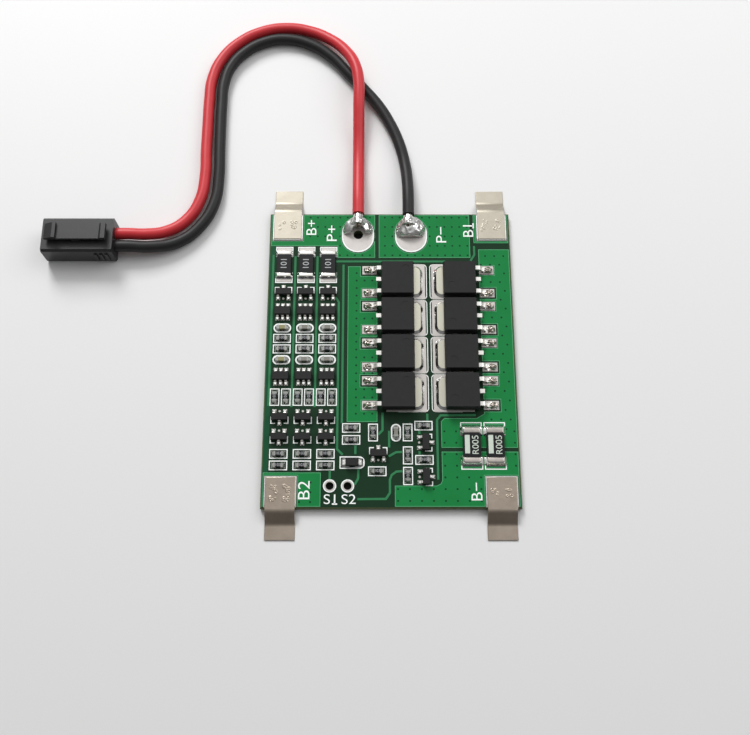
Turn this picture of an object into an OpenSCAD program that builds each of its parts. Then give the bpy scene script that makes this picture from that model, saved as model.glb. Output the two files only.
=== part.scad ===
// Battery management board: a green circuit board with power transistors, cell monitors,
// four nickel strips for the cells and two output leads that end in a two-way plug.
// Millimetres. The origin is the middle of the board's underside, +Z up, +Y to the back,
// where the leads leave.

/* [Board] */
// Width of the board, left to right
board_w = 45; // [45:0.5:54]
// Length of the board, front to back
board_l = 56; // [56:0.5:60]
// Thickness of the laminate
board_t = 1.2; // [0.8:0.1:2.4]
// Depth of the bevel that scoring leaves along each edge
score_bevel = 0.2; // [0.1:0.05:0.3]
// Thickness of the copper with its mask
copper_t = 0.05; // [0.03:0.01:0.1]
// Thickness of a tinned pad
pad_t = 0.1; // [0.06:0.01:0.2]
// Bare laminate between a copper area and a pad in it
pad_gap = 0.12; // [0.08:0.01:0.2]
// Bare laminate round a gate pad, which is cut off from the area around it
gate_gap = 0.3; // [0.2:0.05:0.4]
// Width of a copper track
track_w = 0.4; // [0.3:0.05:0.5]

/* [Lead pads and holes] */
// Width of a lead's pad, which is a circle drawn out front to back
lead_pad_w = 6; // [5:0.1:6.5]
// Length by which the pad is drawn out
lead_pad_stretch = 1; // [0.5:0.1:1.4]
// Radius of the drilled hole in the red lead's pad
lead_hole_r = 0.9; // [0.7:0.05:1.1]
// Radius of the two switch holes
switch_hole_r = 0.7; // [0.5:0.05:0.8]
// Width of the tinned ring round a switch hole
switch_ring_w = 0.25; // [0.15:0.05:0.4]
// Distance between the switch holes
switch_pitch = 3.1; // [2.5:0.1:3.6]

/* [Nickel strips] */
// Width of a strip
strip_w = 5.2; // [4:0.1:5.6]
// Thickness of a strip
strip_t = 0.2; // [0.1:0.05:0.3]
// Length of a strip that lies on its pad
strip_seat_l = 5.4; // [4:0.1:5.8]
// Distance of a strip from the board's side edge
strip_inset = 0.8; // [0.6:0.1:1.5]
// How far a strip reaches past the board
strip_reach = 5.3; // [4.4:0.1:8]
// Inside radius of a strip's two bends
strip_bend_r = 1.1; // [0.5:0.1:1.2]
// Slope of a strip between its bends, in degrees
strip_slope = 35; // [30:5:60]
// Thickness of the solder under a strip
strip_solder_t = 0.12; // [0.05:0.01:0.3]
// Width of the solder that shows round a strip
strip_solder_rim = 0.15; // [0.15:0.05:0.4]

/* [Power transistors] */
// Width of a body, along the board
power_w = 6.6; // [6.2:0.1:6.8]
// Depth of a body, from its leads to its tab
power_d = 6; // [5.6:0.1:6.4]
// Height of a body
power_h = 2.3; // [2:0.1:2.6]
// Lean of a body's moulded sides, from its parting line up
power_draft = 0.2; // [0.1:0.05:0.3]
// Gap between one body and the next in its column
power_gap = 0.55; // [0.4:0.05:1]
// Gap between the tabs of the two columns
power_tab_gap = 3; // [2:0.1:3.6]
// Thickness of the tab and the leads
power_metal_t = 0.5; // [0.4:0.05:0.6]
// Width of the tab
power_tab_w = 5.4; // [5:0.1:5.6]
// How far the tab shows past the body
power_tab_reach = 1.2; // [0.8:0.1:1.5]
// Corner radius of the tab
power_tab_corner = 1; // [0.5:0.1:1.1]
// Distance between the gate and source leads
power_lead_span = 4.57; // [4.2:0.01:4.8]
// Width of a lead
power_lead_w = 0.75; // [0.6:0.05:0.9]
// How far a lead reaches from the body
power_lead_reach = 2.9; // [2.5:0.1:3.2]
// Length of the cut middle lead
power_stub_l = 0.9; // [0.5:0.1:1.2]
// Height at which the leads leave a body
power_exit_h = 0.8; // [0.7:0.05:1]
// Inside radius of a lead's bends
power_bend_r = 0.25; // [0.15:0.05:0.3]
// Radius of the round mark that the mould's ejector leaves on a body
ejector_r = 0.75; // [0.5:0.05:1]

/* [Chips] */
// Small chip resistor and capacitor: length
chip_l = 1.6; // [1.4:0.05:1.8]
// Small chip: width
chip_w = 0.8; // [0.6:0.05:0.9]
// Small chip resistor: height
chip_h = 0.45; // [0.35:0.05:0.6]
// Small chip capacitor: height
cap_h = 0.75; // [0.5:0.05:0.8]
// Small chip: length of its metal end
chip_end_l = 0.3; // [0.2:0.05:0.4]
// Balancing resistor: length
balance_l = 5; // [4.6:0.1:5.4]
// Balancing resistor: width
balance_w = 2.5; // [2:0.1:2.8]
// Balancing resistor: height
balance_h = 0.55; // [0.4:0.05:0.7]
// Balancing resistor: length of its metal end
balance_end_l = 0.6; // [0.4:0.05:0.8]
// How far a balancing resistor's pad shows past its end
balance_toe = 0.9; // [0.5:0.05:1]
// Current shunt: length
shunt_l = 6.4; // [6:0.1:6.8]
// Current shunt: width
shunt_w = 3.1; // [2.8:0.1:3.3]
// Current shunt: height
shunt_h = 0.75; // [0.5:0.05:1]
// Current shunt: length of its metal end
shunt_end_l = 1.1; // [0.8:0.1:1.4]
// Corner radius of a shunt's metal end
shunt_corner = 0.4; // [0.2:0.05:0.5]
// Thickness of the metal that wraps a resistor's or capacitor's end
wrap_t = 0.05; // [0.03:0.01:0.1]
// How far a chip's pad shows past the chip
pad_toe = 0.4; // [0.2:0.05:0.5]
// How far a chip's pad runs under the chip
pad_heel = 0.4; // [0.3:0.05:0.5]

/* [Moulded packages] */
// Length of the moulded body of a small transistor or a monitor chip
mould_l = 2.9; // [2.7:0.05:3.1]
// Depth of a small transistor's body
signal_d = 1.3; // [1.2:0.05:1.5]
// Height of a small transistor's body
signal_h = 1; // [0.8:0.05:1.2]
// Depth of a monitor chip's body
monitor_d = 1.6; // [1.4:0.05:1.8]
// Height of a monitor chip's body
monitor_h = 1.1; // [0.9:0.05:1.3]
// Gap under a moulded body
mould_lift = 0.08; // [0.04:0.02:0.12]
// Lean of a moulded body's sides
mould_draft = 0.08; // [0.04:0.02:0.12]
// Distance from one pin to the next
pin_pitch = 0.95; // [0.9:0.01:1]
// Width of a pin
pin_w = 0.4; // [0.3:0.05:0.5]
// Thickness of a pin
pin_t = 0.15; // [0.1:0.01:0.2]
// How far a pin reaches from the body
pin_reach = 0.6; // [0.5:0.05:0.7]
// Height at which the pins leave a body
pin_exit_h = 0.45; // [0.35:0.05:0.6]
// Length of the diode's body
diode_l = 2.3; // [2:0.1:2.7]
// Width of the diode's body
diode_w = 1.5; // [1.2:0.1:1.8]
// Height of the diode's body
diode_h = 1; // [0.8:0.1:1.2]
// Width of the diode's flat leads
diode_lead_w = 0.9; // [0.6:0.1:1.2]
// How far a flat lead shows past the diode
diode_lead_reach = 0.5; // [0.3:0.05:0.6]

/* [Leads and plug] */
// Diameter of a lead over its insulation
lead_d = 2.2; // [1.8:0.1:2.3]
// Diameter of the stripped strands
strand_d = 1.3; // [0.9:0.1:1.5]
// Height of the solder mound on a lead's pad
mound_h = 1.7; // [1.4:0.1:2.2]
// Distance between the leads in the plug
plug_pitch = 2.5; // [2.45:0.05:3]
// Width of the plug
plug_w = 6.8; // [6.4:0.1:8]
// Length of the plug
plug_l = 13; // [11:0.5:16]
// Height of the plug, without its latch
plug_h = 4.8; // [4.4:0.1:6]
// Wall of the plug's mouth
plug_wall = 0.7; // [0.5:0.05:0.8]
// Depth of the plug's mouth
plug_mouth_l = 6; // [4:0.5:7]
// Depth of the ports that take the leads
plug_port_l = 1.5; // [1:0.1:2.5]
// Clearance of a lead in its port
plug_port_gap = 0.05; // [0.02:0.01:0.08]
// Thickness of the latch arm
latch_t = 0.6; // [0.4:0.05:0.8]
// Width of the latch arm
latch_w = 3; // [2:0.1:4]
// Height of the gap under the latch arm
latch_gap = 0.7; // [0.5:0.1:1]

/* [Hidden] */
$fn = 48;
eps = 0.01;

// Heights: the laminate's top, and the top of the tinned pads, where the parts stand.
board_top = board_t;
seat = board_t + pad_t;

// The board's edges, and how far copper keeps from them.
right_edge = board_w / 2;
back_edge = board_l / 2;
edge_margin = 0.3;
right_copper = right_edge - edge_margin;
back_copper = back_edge - edge_margin;

// The places below are drawn for a board of this size, and spread as it grows. A place is
// [x, y] or [x, y, turn].
drawn_for = [45, 56];
spread_x = board_w / drawn_for.x;
spread_y = board_l / drawn_for.y;
function at(x, y) = [x * spread_x, y * spread_y];
function place(x, y, turn) = [x * spread_x, y * spread_y, turn];

// The lead pads stand behind the power transistors, red on the left. A lead's solder is
// a dome, cut off in front by the pad's hole or by its own steep edge.
red_pad = at(-5.95, 23.5);
black_pad = at(4, 23.5);
red_hole = at(-5.9, 23.6);
switch_hole = at(-10.6, -24.1);
switch_holes = [switch_hole, switch_hole + [switch_pitch, 0]];
red_dome = at(-6, 25);
red_dome_front = 23.7 * spread_y;
black_dome = at(3.8, 24.9);
black_dome_front = 23.1 * spread_y;
red_dome_notch = 0.35;
dome_r = 3;
lead_z = seat + 0.05 + lead_d / 2;
red_lead_x = -5.9 * spread_x;
black_lead_x = 3.5 * spread_x;
strand_root_l = 0.2;
throat_r = 1.3;
throat_gap = 0.15;

// Nickel strips: the middle of each strip, left or right of the board's middle.
strip_x = right_edge - strip_inset - strip_w / 2;
strip_z = seat + strip_solder_t;
strip_solder_w = strip_w + 2 * strip_solder_rim;
strip_pad_rim = strip_solder_rim + 0.05;
strip_edge_gap = 0.15;

// Power transistors: four rows in two columns that face each other.
power_middle = at(7.05, 3.325);
power_pitch = power_w + power_gap;
power_x = power_tab_gap / 2 + power_tab_reach + power_d / 2;
power_outer_x = power_x + power_d / 2;
power_back = power_middle.y + 2 * power_pitch - power_gap / 2;
power_front = power_middle.y - 2 * power_pitch + power_gap / 2;
power_slug_x = 0.9 - power_d / 2;
power_tab_x = power_d / 2 + power_tab_reach;
power_pad_toe = 0.55;
power_lead_pad_l = 2.7;
power_lead_pad_w = power_lead_w + 0.9;
power_drain_pad_rim = 0.9;
power_drain_pad_w = power_w + 0.3;
power_parting_h = power_exit_h + power_metal_t + 0.1;
power_root_l = 0.8;
ejector_depth = 0.04;
// The right column is turned about, so its leads point right.
power_places = [
    for (side = [-1, 1])
        for (row = [1.5, 0.5, -0.5, -1.5])
            [power_middle.x + side * power_x, power_middle.y + row * power_pitch, 90 + side * 90]
];

// Three like columns, one for each cell: a balancing resistor at the back, then the
// monitor chips with their transistors, resistors and capacitors.
columns = [-19.6, -15.5, -11.4];
pair_pitch = 2;
balance_places = [for (x = columns) place(x, 17.45, 90)];
monitor_places = [for (x = columns) for (y = [8.05, -4.35]) place(x, y, 0)];
resistor_places = concat(
    [for (x = columns) for (y = [2.93, 0.9, -18.45, -20.5]) place(x, y, 0)],
    [for (x = columns) for (side = [-1, 1]) place(x, -8.15, 90) + [side * pair_pitch / 2, 0, 0]],
    [place(-6.95, -13.8, 0), place(-6.95, -15.95, 0), place(5.75, -13.38, 0)],
    [place(5.82, -19.53, 0), place(-2.38, -21.53, 0)],
    [place(-3.12, -14.62, 90), place(2.95, -14.6, 90)],
    [place(2.95, -18.72, 90), place(2.95, -22.35, 90)]
);
capacitor_places = concat(
    [for (x = columns) for (y = [4.93, -1.17]) place(x, y, 0)],
    [place(0.9, -14.65, 90)]
);
// A small transistor has one pin at its back and two at its front, before it is turned.
signal_places = concat(
    [for (x = columns) place(x, 11.85, 0)],
    [for (x = columns) for (y = [-11.9, -15.45]) place(x, y, 180)],
    [place(-2.2, -18.4, 0), place(6.1, -16.43, -90), place(6.1, -22.53, -90)]
);
dot_r = 0.2;
shunt_places = [place(14.1, -17, 90), place(18.2, -17, 90)];
diode_place = place(-6.75, -20, 0);

// The copper areas, back to front. Those under the power transistors' leads keep their
// distance from the bodies.
area_gap = 0.7;
output_front = 18.9;
output_split = -2.4;
red_area = [
    [-right_copper, back_copper],
    [at(output_split, 0).x - area_gap / 2, back_copper],
    at(output_split, output_front) - [area_gap / 2, 0],
    at(-9.75, output_front),
    at(-9.75, 21.3),
    [-right_copper, at(0, 21.3).y]
];
black_area = [
    [at(output_split, 0).x + area_gap / 2, back_copper],
    [at(15, 0).x, back_copper],
    at(15, output_front),
    at(output_split, output_front) + [area_gap / 2, 0]
];
b1_area = [
    [at(15, 0).x + area_gap, back_copper],
    [right_copper, back_copper],
    [right_copper, at(0, 21.9).y],
    at(15, 21.9) + [area_gap, 0]
];
shunt_middle = at(8.85, -17.7);
source_right_x = power_middle.x + power_outer_x + 0.75;
source_right_area = [
    [source_right_x, at(0, 20.6).y],
    [right_copper, at(0, 20.6).y],
    [right_copper, shunt_middle.y + area_gap / 2],
    shunt_middle + [0, area_gap / 2],
    at(8.85, -12.6),
    at(9.45, -12),
    at(15.2, -12),
    [source_right_x, power_front - 0.5]
];
b_minus_area = [
    shunt_middle - [0, area_gap / 2],
    [right_copper, shunt_middle.y - area_gap / 2],
    [right_copper, -back_copper],
    [at(0.65, 0).x, -back_copper],
    at(0.65, -24.05),
    at(7.9, -24.05),
    at(8.6, -23.7),
    at(8.85, -23.1)
];
b2_area = [
    [-right_copper, at(0, -21.75).y],
    at(-12.15, -21.75),
    [at(-12.15, 0).x, -back_copper],
    [-right_copper, -back_copper]
];
source_left_x = power_middle.x - power_outer_x - 0.7;
source_left_w = 5.4;
source_left_area = [
    [source_left_x - source_left_w, power_back - 0.2],
    [source_left_x, power_back - 0.2],
    [source_left_x, power_front - 2],
    [source_left_x - source_left_w, power_front - 2]
];
areas = [red_area, black_area, b1_area, source_right_area, b_minus_area, b2_area, source_left_area];

// The tracks, as runs of points.
tracks = [
    [at(-10, 18.15), at(10.3, 18.15)],
    [at(15.75, 21.3), at(15.75, 19.5), at(15, 18.3)],
    [at(-21.65, 19.5), at(-21.65, -9.8)],
    [at(-17.55, 19.2), at(-17.55, -10)],
    [at(-13.45, 19.2), at(-13.45, -10)],
    [at(-10, 11), at(-9.4, 10), at(-9.4, -17.6), at(-8.4, -18.6)],
    [at(-8.6, 17.5), at(-8.6, -12.9)],
    [at(-1.45, -11), at(-1.45, -14.2), at(-2.2, -15)],
    [at(-6.2, -16.9), at(-6.2, -18.5)],
    [at(-0.3, -14.3), at(-0.3, -17.3)],
    [at(2, -18.1), at(0.9, -18.15), at(-0.4, -18.9)],
    [at(2, -21.5), at(0.9, -21.6), at(0.1, -22.2), at(-0.2, -23), at(-0.2, -25.3), at(-0.9, -26.35),
        at(-5.8, -26.4)],
    [at(-5.65, -21.1), at(-5.7, -22.8), at(-6.3, -23.9)],
    [at(-10.6, -21.4), at(-10.6, -23.1)],
    [at(6.45, -11.2), at(6.45, -12.5)],
    [at(8.15, -23), at(8.15, -12.3), at(8.8, -11.5), at(15, -11.45)],
    [at(5, -14.3), at(5, -14.9)],
    [at(5, -17.9), at(5, -18.6)]
];

// The plug lies on the floor, left of the board, and points left; this is the middle of
// its back face.
plug_place = [-51, 22];
plug_axis_h = plug_h / 2;
plug_corner = 0.4;
contact_r = 0.35;
port_lift = plug_axis_h - lead_d / 2;
port_x = plug_place.x - plug_port_l;
red_port_y = plug_place.y + plug_pitch / 2;
black_port_y = plug_place.y - plug_pitch / 2;
red_exit_y = back_edge - 0.6;
black_exit_y = back_edge - 0.8;

// The leads' routes: a point is [x, y, how high the underside is above the floor]. They
// leave the board straight back and sink to the floor. The red lead passes over the
// black one in a long low hump, and both run side by side round to the plug.
lead_lift = lead_z - lead_d / 2;
red_route = [
    [red_lead_x, red_exit_y, lead_lift], [red_lead_x, 31, lead_lift], [-5.9, 34.8, 0.8], [-5.9, 38.8, 0.2],
    [-5.9, 43, 0.4], [-5.9, 47, 1.2], [-5.9, 51, 2.1], [-5.9, 55, 2.5], [-6.6, 59.3, 2.4],
    [-8.6, 63.3, 1.6], [-11.8, 66.7, 0.7], [-15.9, 69, 0.1], [-20.6, 69.8, 0],
    [-25.6, 68.9, 0], [-30.1, 66.3, 0], [-33.4, 62.4, 0], [-35.1, 57.6, 0], [-35.4, 52.5, 0],
    [-35.4, 47, 0], [-35.4, 41.5, 0], [-35.3, 36, 0], [-36, 31, 0], [-38.2, 26.9, 0],
    [-41.8, 24.2, 0.4], [-45.6, 23.3, 1], [-48.5, red_port_y, port_lift],
    [port_x, red_port_y, port_lift]
];
black_route = [
    [black_lead_x, black_exit_y, lead_lift], [black_lead_x, 30.8, lead_lift], [3.4, 34.6, 0.8], [3, 38.6, 0.1],
    [2, 43, 0], [0.3, 47.4, 0], [-2, 51.6, 0], [-4.9, 55.4, 0], [-8, 59.1, 0],
    [-11.2, 62.8, 0], [-15.4, 65.8, 0], [-20.6, 67.2, 0], [-24.9, 66.5, 0],
    [-28.6, 64.3, 0], [-31.4, 60.9, 0], [-32.7, 56.7, 0], [-32.9, 52, 0], [-32.9, 46.8, 0],
    [-32.8, 41.5, 0], [-32.7, 36, 0], [-33.2, 30.6, 0], [-35.6, 25.6, 0], [-39.6, 22.1, 0.2],
    [-44.6, 20.8, 0.9], [-48.5, black_port_y, port_lift], [port_x, black_port_y, port_lift]
];

// ---------------------------------------------------------------- functions

function unit(v) = v / norm(v);
function left_of(v) = [-v.y, v.x];

// The points of an arc about c, from angle a0 to a1, in n steps.
function arc(c, r, a0, a1, n = 6) = [
    for (i = [0:n]) c + r * [cos(a0 + (a1 - a0) * i / n), sin(a0 + (a1 - a0) * i / n)]
];

// Where a flat strip's second bend ends, for a strip of thickness t that runs level for
// flat, sinks by drop at slope and lands level.
function landing(flat, drop, t, r, slope) =
    flat + (2 * r + t) * sin(slope)
    + (drop - (2 * r + t) * (1 - cos(slope))) * cos(slope) / sin(slope);

// The side view of that strip, out to reach; it stands on the x axis.
function bent_strip(flat, drop, reach, t, r, slope) =
    let (down = [flat, drop - r])
    let (up = [landing(flat, drop, t, r, slope), r + t])
    concat(
        [[0, drop]],
        arc(down, r, 90, 90 - slope),
        arc(up, r + t, 270 - slope, 270),
        [[reach, 0], [reach, t]],
        arc(up, r, 270, 270 - slope),
        arc(down, r + t, 90 - slope, 90),
        [[0, drop + t]]
    );

// The outline of a run of points drawn w wide, with mitred corners.
function mitre(p, i) =
    i == 0 ? left_of(unit(p[1] - p[0])) :
    i == len(p) - 1 ? left_of(unit(p[i] - p[i - 1])) :
    let (a = left_of(unit(p[i] - p[i - 1])))
    let (b = left_of(unit(p[i + 1] - p[i])))
    (a + b) / (1 + a * b);
function ribbon(p, w) = concat(
    [for (i = [0:len(p) - 1]) p[i] + mitre(p, i) * w / 2],
    [for (i = [len(p) - 1:-1:0]) p[i] - mitre(p, i) * w / 2]
);

// ---------------------------------------------------------------- shared shapes

// Puts its children at a place [x, y, turn] on top of the pads.
module put(place, z = seat) {
    translate([place.x, place.y, z])
        rotate([0, 0, place.z])
            children();
}

// The same in the plane.
module put_flat(place) {
    translate([place.x, place.y])
        rotate(place.z)
            children();
}

// A side view in x and z, drawn out to width w about the x axis.
module side_view(outline, w) {
    translate([0, w / 2, 0])
        rotate([90, 0, 0])
            linear_extrude(w)
                polygon(outline);
}

// A rectangle about the origin with round corners.
module round_rect(size, r) {
    square([size.x - 2 * r, size.y], center = true);
    square([size.x, size.y - 2 * r], center = true);
    for (x = [-1, 1])
        for (y = [-1, 1])
            translate([x * (size.x / 2 - r), y * (size.y / 2 - r)])
                circle(r);
}

// A block whose sides stand upright up to z1 to z2 and lean in by draft above and below.
module moulding(size, z1, z2, draft) {
    x = size.x / 2;
    y = size.y / 2;
    intersection() {
        side_view([[draft - x, 0], [x - draft, 0], [x, z1], [x, z2],
            [x - draft, size.z], [draft - x, size.z], [-x, z2], [-x, z1]], size.y);
        rotate([0, 0, 90])
            side_view([[draft - y, 0], [y - draft, 0], [y, z1], [y, z2],
                [y - draft, size.z], [draft - y, size.z], [-y, z2], [-y, z1]], size.x);
    }
}

// A tube of radius r along a route, with eight sides and a corner pointing down.
module tube(route, r) {
    sides = 8;
    path = [for (p = route) [p.x, p.y, p.z + r]];
    last = len(path) - 1;
    rings = [
        for (i = [0:last])
            let (along = unit(path[min(i + 1, last)] - path[max(i - 1, 0)]))
            let (across = unit(cross(along, [0, 0, 1])))
            let (up = cross(across, along))
            for (k = [0:sides - 1])
                path[i] + r * (across * cos(45 * k) + up * sin(45 * k))
    ];
    walls = [
        for (i = [0:last - 1])
            for (k = [0:sides - 1])
                for (face = [
                    [i * sides + k, i * sides + (k + 1) % sides, (i + 1) * sides + k],
                    [(i + 1) * sides + k, i * sides + (k + 1) % sides, (i + 1) * sides + (k + 1) % sides]
                ]) face
    ];
    start = [for (k = [sides - 1:-1:0]) k];
    end = [for (k = [0:sides - 1]) last * sides + k];
    polyhedron(rings, concat([start], walls, [end]));
}

// ---------------------------------------------------------------- board and copper

// A rectangular pad from its lower left corner, grown by a margin to each side.
module pad(corner, size, grow) {
    translate([corner.x - grow, corner.y - grow])
        square([size.x + 2 * grow, size.y + 2 * grow]);
}

// One pad at each end of a chip that lies along x.
module chip_pads(l, w, toe, heel, grow) {
    for (turn = [0, 180])
        rotate(turn)
            pad([l / 2 - heel, -w / 2 - 0.1], [toe + heel, w + 0.2], grow);
}

// A pin's pad, for a pin that leaves a body of depth d backwards.
module pin_pad(x, d, grow) {
    pad([x - pin_w / 2 - 0.15, d / 2 + 0.1], [pin_w + 0.3, pin_reach + 0.15], grow);
}

module gate_pad(grow) {
    pad([-power_d / 2 - power_lead_reach - power_pad_toe, (power_lead_span - power_lead_pad_w) / 2],
        [power_lead_pad_l, power_lead_pad_w], grow);
}

module drain_pad(grow) {
    pad([power_slug_x, -power_drain_pad_w / 2],
        [power_tab_x + power_drain_pad_rim - power_slug_x, power_drain_pad_w], grow);
}

module strip_pad(grow) {
    pad([-strip_w / 2 - strip_pad_rim, back_edge - strip_seat_l - strip_pad_rim],
        [strip_w + 2 * strip_pad_rim, strip_seat_l + strip_pad_rim - 0.2], grow);
}

// Puts its child at the place of each strip, turned so that +y points off the board.
module at_strips() {
    for (x = [-1, 1])
        for (turn = [0, 180])
            rotate(turn)
                translate([x * strip_x, 0])
                    children();
}

module chip_pad_field(grow) {
    for (p = concat(resistor_places, capacitor_places))
        put_flat(p) chip_pads(chip_l, chip_w, pad_toe, pad_heel, grow);
    for (p = balance_places)
        put_flat(p) chip_pads(balance_l, balance_w, balance_toe, pad_heel, grow);
    for (p = shunt_places)
        put_flat(p) chip_pads(shunt_l, shunt_w, pad_toe, shunt_end_l, grow);
    put_flat(diode_place)
        chip_pads(diode_l + 2 * diode_lead_reach, diode_lead_w, 0.3, diode_lead_reach, grow);
}

module pin_pad_field(grow) {
    for (p = signal_places)
        put_flat(p) {
            pin_pad(0, signal_d, grow);
            translate([0, -signal_d / 2 - dot_r - 0.3]) circle(dot_r + grow);
            for (side = [-1, 1])
                rotate(180) pin_pad(side * pin_pitch, signal_d, grow);
        }
    for (p = monitor_places)
        for (turn = [0, 180])
            for (i = [-1:1])
                put_flat(p) rotate(turn) pin_pad(i * pin_pitch, monitor_d, grow);
}

module power_pad_field(grow, gate_grow) {
    for (p = power_places)
        put_flat(p) {
            gate_pad(gate_grow);
            mirror([0, 1]) gate_pad(grow);
            drain_pad(grow);
        }
}

// A lead's pad, which is a circle drawn out front to back.
module lead_pad(grow) {
    r = lead_pad_w / 2 + grow;
    square([2 * r, lead_pad_stretch], center = true);
    for (side = [-1, 1])
        translate([0, side * lead_pad_stretch / 2])
            circle(r);
}

// The drilled holes, grown by a margin.
module drills(grow) {
    translate(red_hole) circle(lead_hole_r + grow);
    for (p = switch_holes)
        translate(p) circle(switch_hole_r + grow);
}

// All that is tinned, with the gap that copper keeps from it.
module cleared() {
    chip_pad_field(pad_gap);
    pin_pad_field(pad_gap);
    power_pad_field(pad_gap, gate_gap);
    at_strips() strip_pad(pad_gap);
    translate(red_pad) lead_pad(pad_gap);
    translate(black_pad) lead_pad(pad_gap);
    drills(switch_ring_w + pad_gap);
}

module circuit_board() {
    b = score_bevel;
    x = right_edge;
    y = back_edge;
    t = board_t;
    color("seagreen")
        difference() {
            intersection() {
                side_view([[b - x, 0], [x - b, 0], [x, b], [x, t - b], [x - b, t], [b - x, t], [-x, t - b], [-x, b]],
                    board_l);
                rotate([0, 0, 90])
                    side_view([[b - y, 0], [y - b, 0], [y, b], [y, t - b], [y - b, t], [b - y, t], [-y, t - b], [-y, b]],
                        board_w);
            }
            translate([red_hole.x, red_hole.y, -1])
                cylinder(h = board_t + 2, r = lead_hole_r);
            for (p = switch_holes)
                translate([p.x, p.y, -1])
                    cylinder(h = board_t + 2, r = switch_hole_r);
        }
}

module copper_areas() {
    color("mediumseagreen")
        translate([0, 0, board_top])
            linear_extrude(copper_t)
                difference() {
                    for (outline = areas)
                        polygon(outline);
                    cleared();
                }
}

module copper_tracks() {
    color("mediumseagreen")
        translate([0, 0, board_top])
            linear_extrude(copper_t)
                difference() {
                    for (run = tracks)
                        polygon(ribbon(run, track_w));
                    for (outline = areas)
                        polygon(outline);
                    cleared();
                }
}

module solder_pads() {
    color("gainsboro")
        translate([0, 0, board_top])
            linear_extrude(pad_t) {
                chip_pad_field(0);
                pin_pad_field(0);
                power_pad_field(0, 0);
                at_strips() strip_pad(0);
            }
}

module lead_pads() {
    color("gainsboro")
        translate([0, 0, board_top])
            linear_extrude(pad_t)
                difference() {
                    for (p = [red_pad, black_pad])
                        translate(p) lead_pad(0);
                    drills(0);
                }
}

module switch_rings() {
    color("gainsboro")
        translate([0, 0, board_top])
            for (p = switch_holes)
                translate([p.x, p.y, 0])
                    difference() {
                        cylinder(h = pad_t, r = switch_hole_r + switch_ring_w);
                        translate([0, 0, -1])
                            cylinder(h = pad_t + 2, r = switch_hole_r);
                    }
}

// ---------------------------------------------------------------- strips

// A strip for the back edge: flat on its pad, off the board and down to the floor.
module nickel_strip(side, turn) {
    outline = bent_strip(strip_seat_l + strip_edge_gap, strip_z, strip_seat_l + strip_reach,
        strip_t, strip_bend_r, strip_slope);
    color("silver")
        rotate([0, 0, turn])
            translate([side * strip_x, back_edge - strip_seat_l, 0])
                rotate([0, 0, 90])
                    side_view(outline, strip_w);
}

module b_plus_strip() nickel_strip(-1, 0);
module b1_strip() nickel_strip(1, 0);
module b2_strip() nickel_strip(1, 180);
module b_minus_strip() nickel_strip(-1, 180);

// The thin layer of solder under each strip, with a narrow rim round it.
module strip_solder() {
    l = strip_seat_l + strip_solder_rim - 0.3;
    color("whitesmoke")
        translate([0, 0, seat])
            linear_extrude(strip_solder_t)
                at_strips()
                    translate([0, back_edge - 0.3 - l / 2])
                        round_rect([strip_solder_w, l], 0.5);
}

// ---------------------------------------------------------------- power transistors

// The gate lead at the back; the source lead is its mirror image.
module power_lead() {
    reach = power_lead_reach + power_root_l;
    outline = bent_strip(power_root_l + 0.45, power_exit_h, reach, power_metal_t, power_bend_r, 60);
    translate([power_root_l - power_d / 2, power_lead_span / 2, 0])
        rotate([0, 0, 180])
            side_view(outline, power_lead_w);
}

// The tab and slug in one flat piece, with the cut middle lead that springs from it.
module power_slug() {
    x0 = power_slug_x;
    x1 = power_tab_x;
    c = power_tab_corner;
    linear_extrude(power_metal_t) {
        translate([x0, -power_tab_w / 2])
            square([x1 - x0 - c, power_tab_w]);
        translate([x1 - c - eps, c - power_tab_w / 2])
            square([c + eps, power_tab_w - 2 * c]);
        for (side = [-1, 1])
            translate([x1 - c, side * (power_tab_w / 2 - c)])
                circle(c);
    }
    side_view([
        [x0, 0], [x0 + power_metal_t, 0], [x0 + power_metal_t, power_exit_h + power_metal_t],
        [-power_d / 2 - power_stub_l, power_exit_h + power_metal_t],
        [-power_d / 2 - power_stub_l, power_exit_h], [x0, power_exit_h]
    ], power_lead_w);
}

module power_frame() {
    power_slug();
    power_lead();
    mirror([0, 1, 0])
        power_lead();
}

// The moulding, drafted above and below its parting line and closed round the frame.
module power_body() {
    difference() {
        moulding([power_d, power_w, power_h], power_exit_h, power_parting_h, power_draft);
        power_frame();
        translate([power_d / 4, power_w / 4, power_h - ejector_depth])
            cylinder(h = 1, r = ejector_r);
    }
}

module transistor_body(i) {
    color("dimgray")
        put(power_places[i - 1]) power_body();
}

module transistor_frame(i) {
    color("lightgray")
        put(power_places[i - 1]) power_frame();
}

// ---------------------------------------------------------------- chips

// A chip's body lies along x; its ends are thinner, so the metal that wraps them comes
// flush with the middle.
module chip_body(l, w, h, end_l, wrap) {
    x0 = l / 2 - wrap;
    x1 = l / 2 - end_l;
    side_view([
        [-x0, wrap], [-x1, wrap], [-x1, 0], [x1, 0], [x1, wrap], [x0, wrap],
        [x0, h - wrap], [x1, h - wrap], [x1, h], [-x1, h], [-x1, h - wrap], [-x0, h - wrap]
    ], w);
}

module chip_ends(l, w, h, end_l, wrap) {
    x0 = l / 2 - wrap;
    x1 = l / 2 - end_l;
    for (turn = [0, 180])
        rotate([0, 0, turn])
            side_view([
                [x1, 0], [l / 2, 0], [l / 2, h], [x1, h],
                [x1, h - wrap], [x0, h - wrap], [x0, wrap], [x1, wrap]
            ], w);
}

module balance_resistor_bodies() {
    color("dimgray")
        for (p = balance_places)
            put(p) chip_body(balance_l, balance_w, balance_h, balance_end_l, wrap_t);
}

module balance_resistor_ends() {
    color("gainsboro")
        for (p = balance_places)
            put(p) chip_ends(balance_l, balance_w, balance_h, balance_end_l, wrap_t);
}

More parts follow.
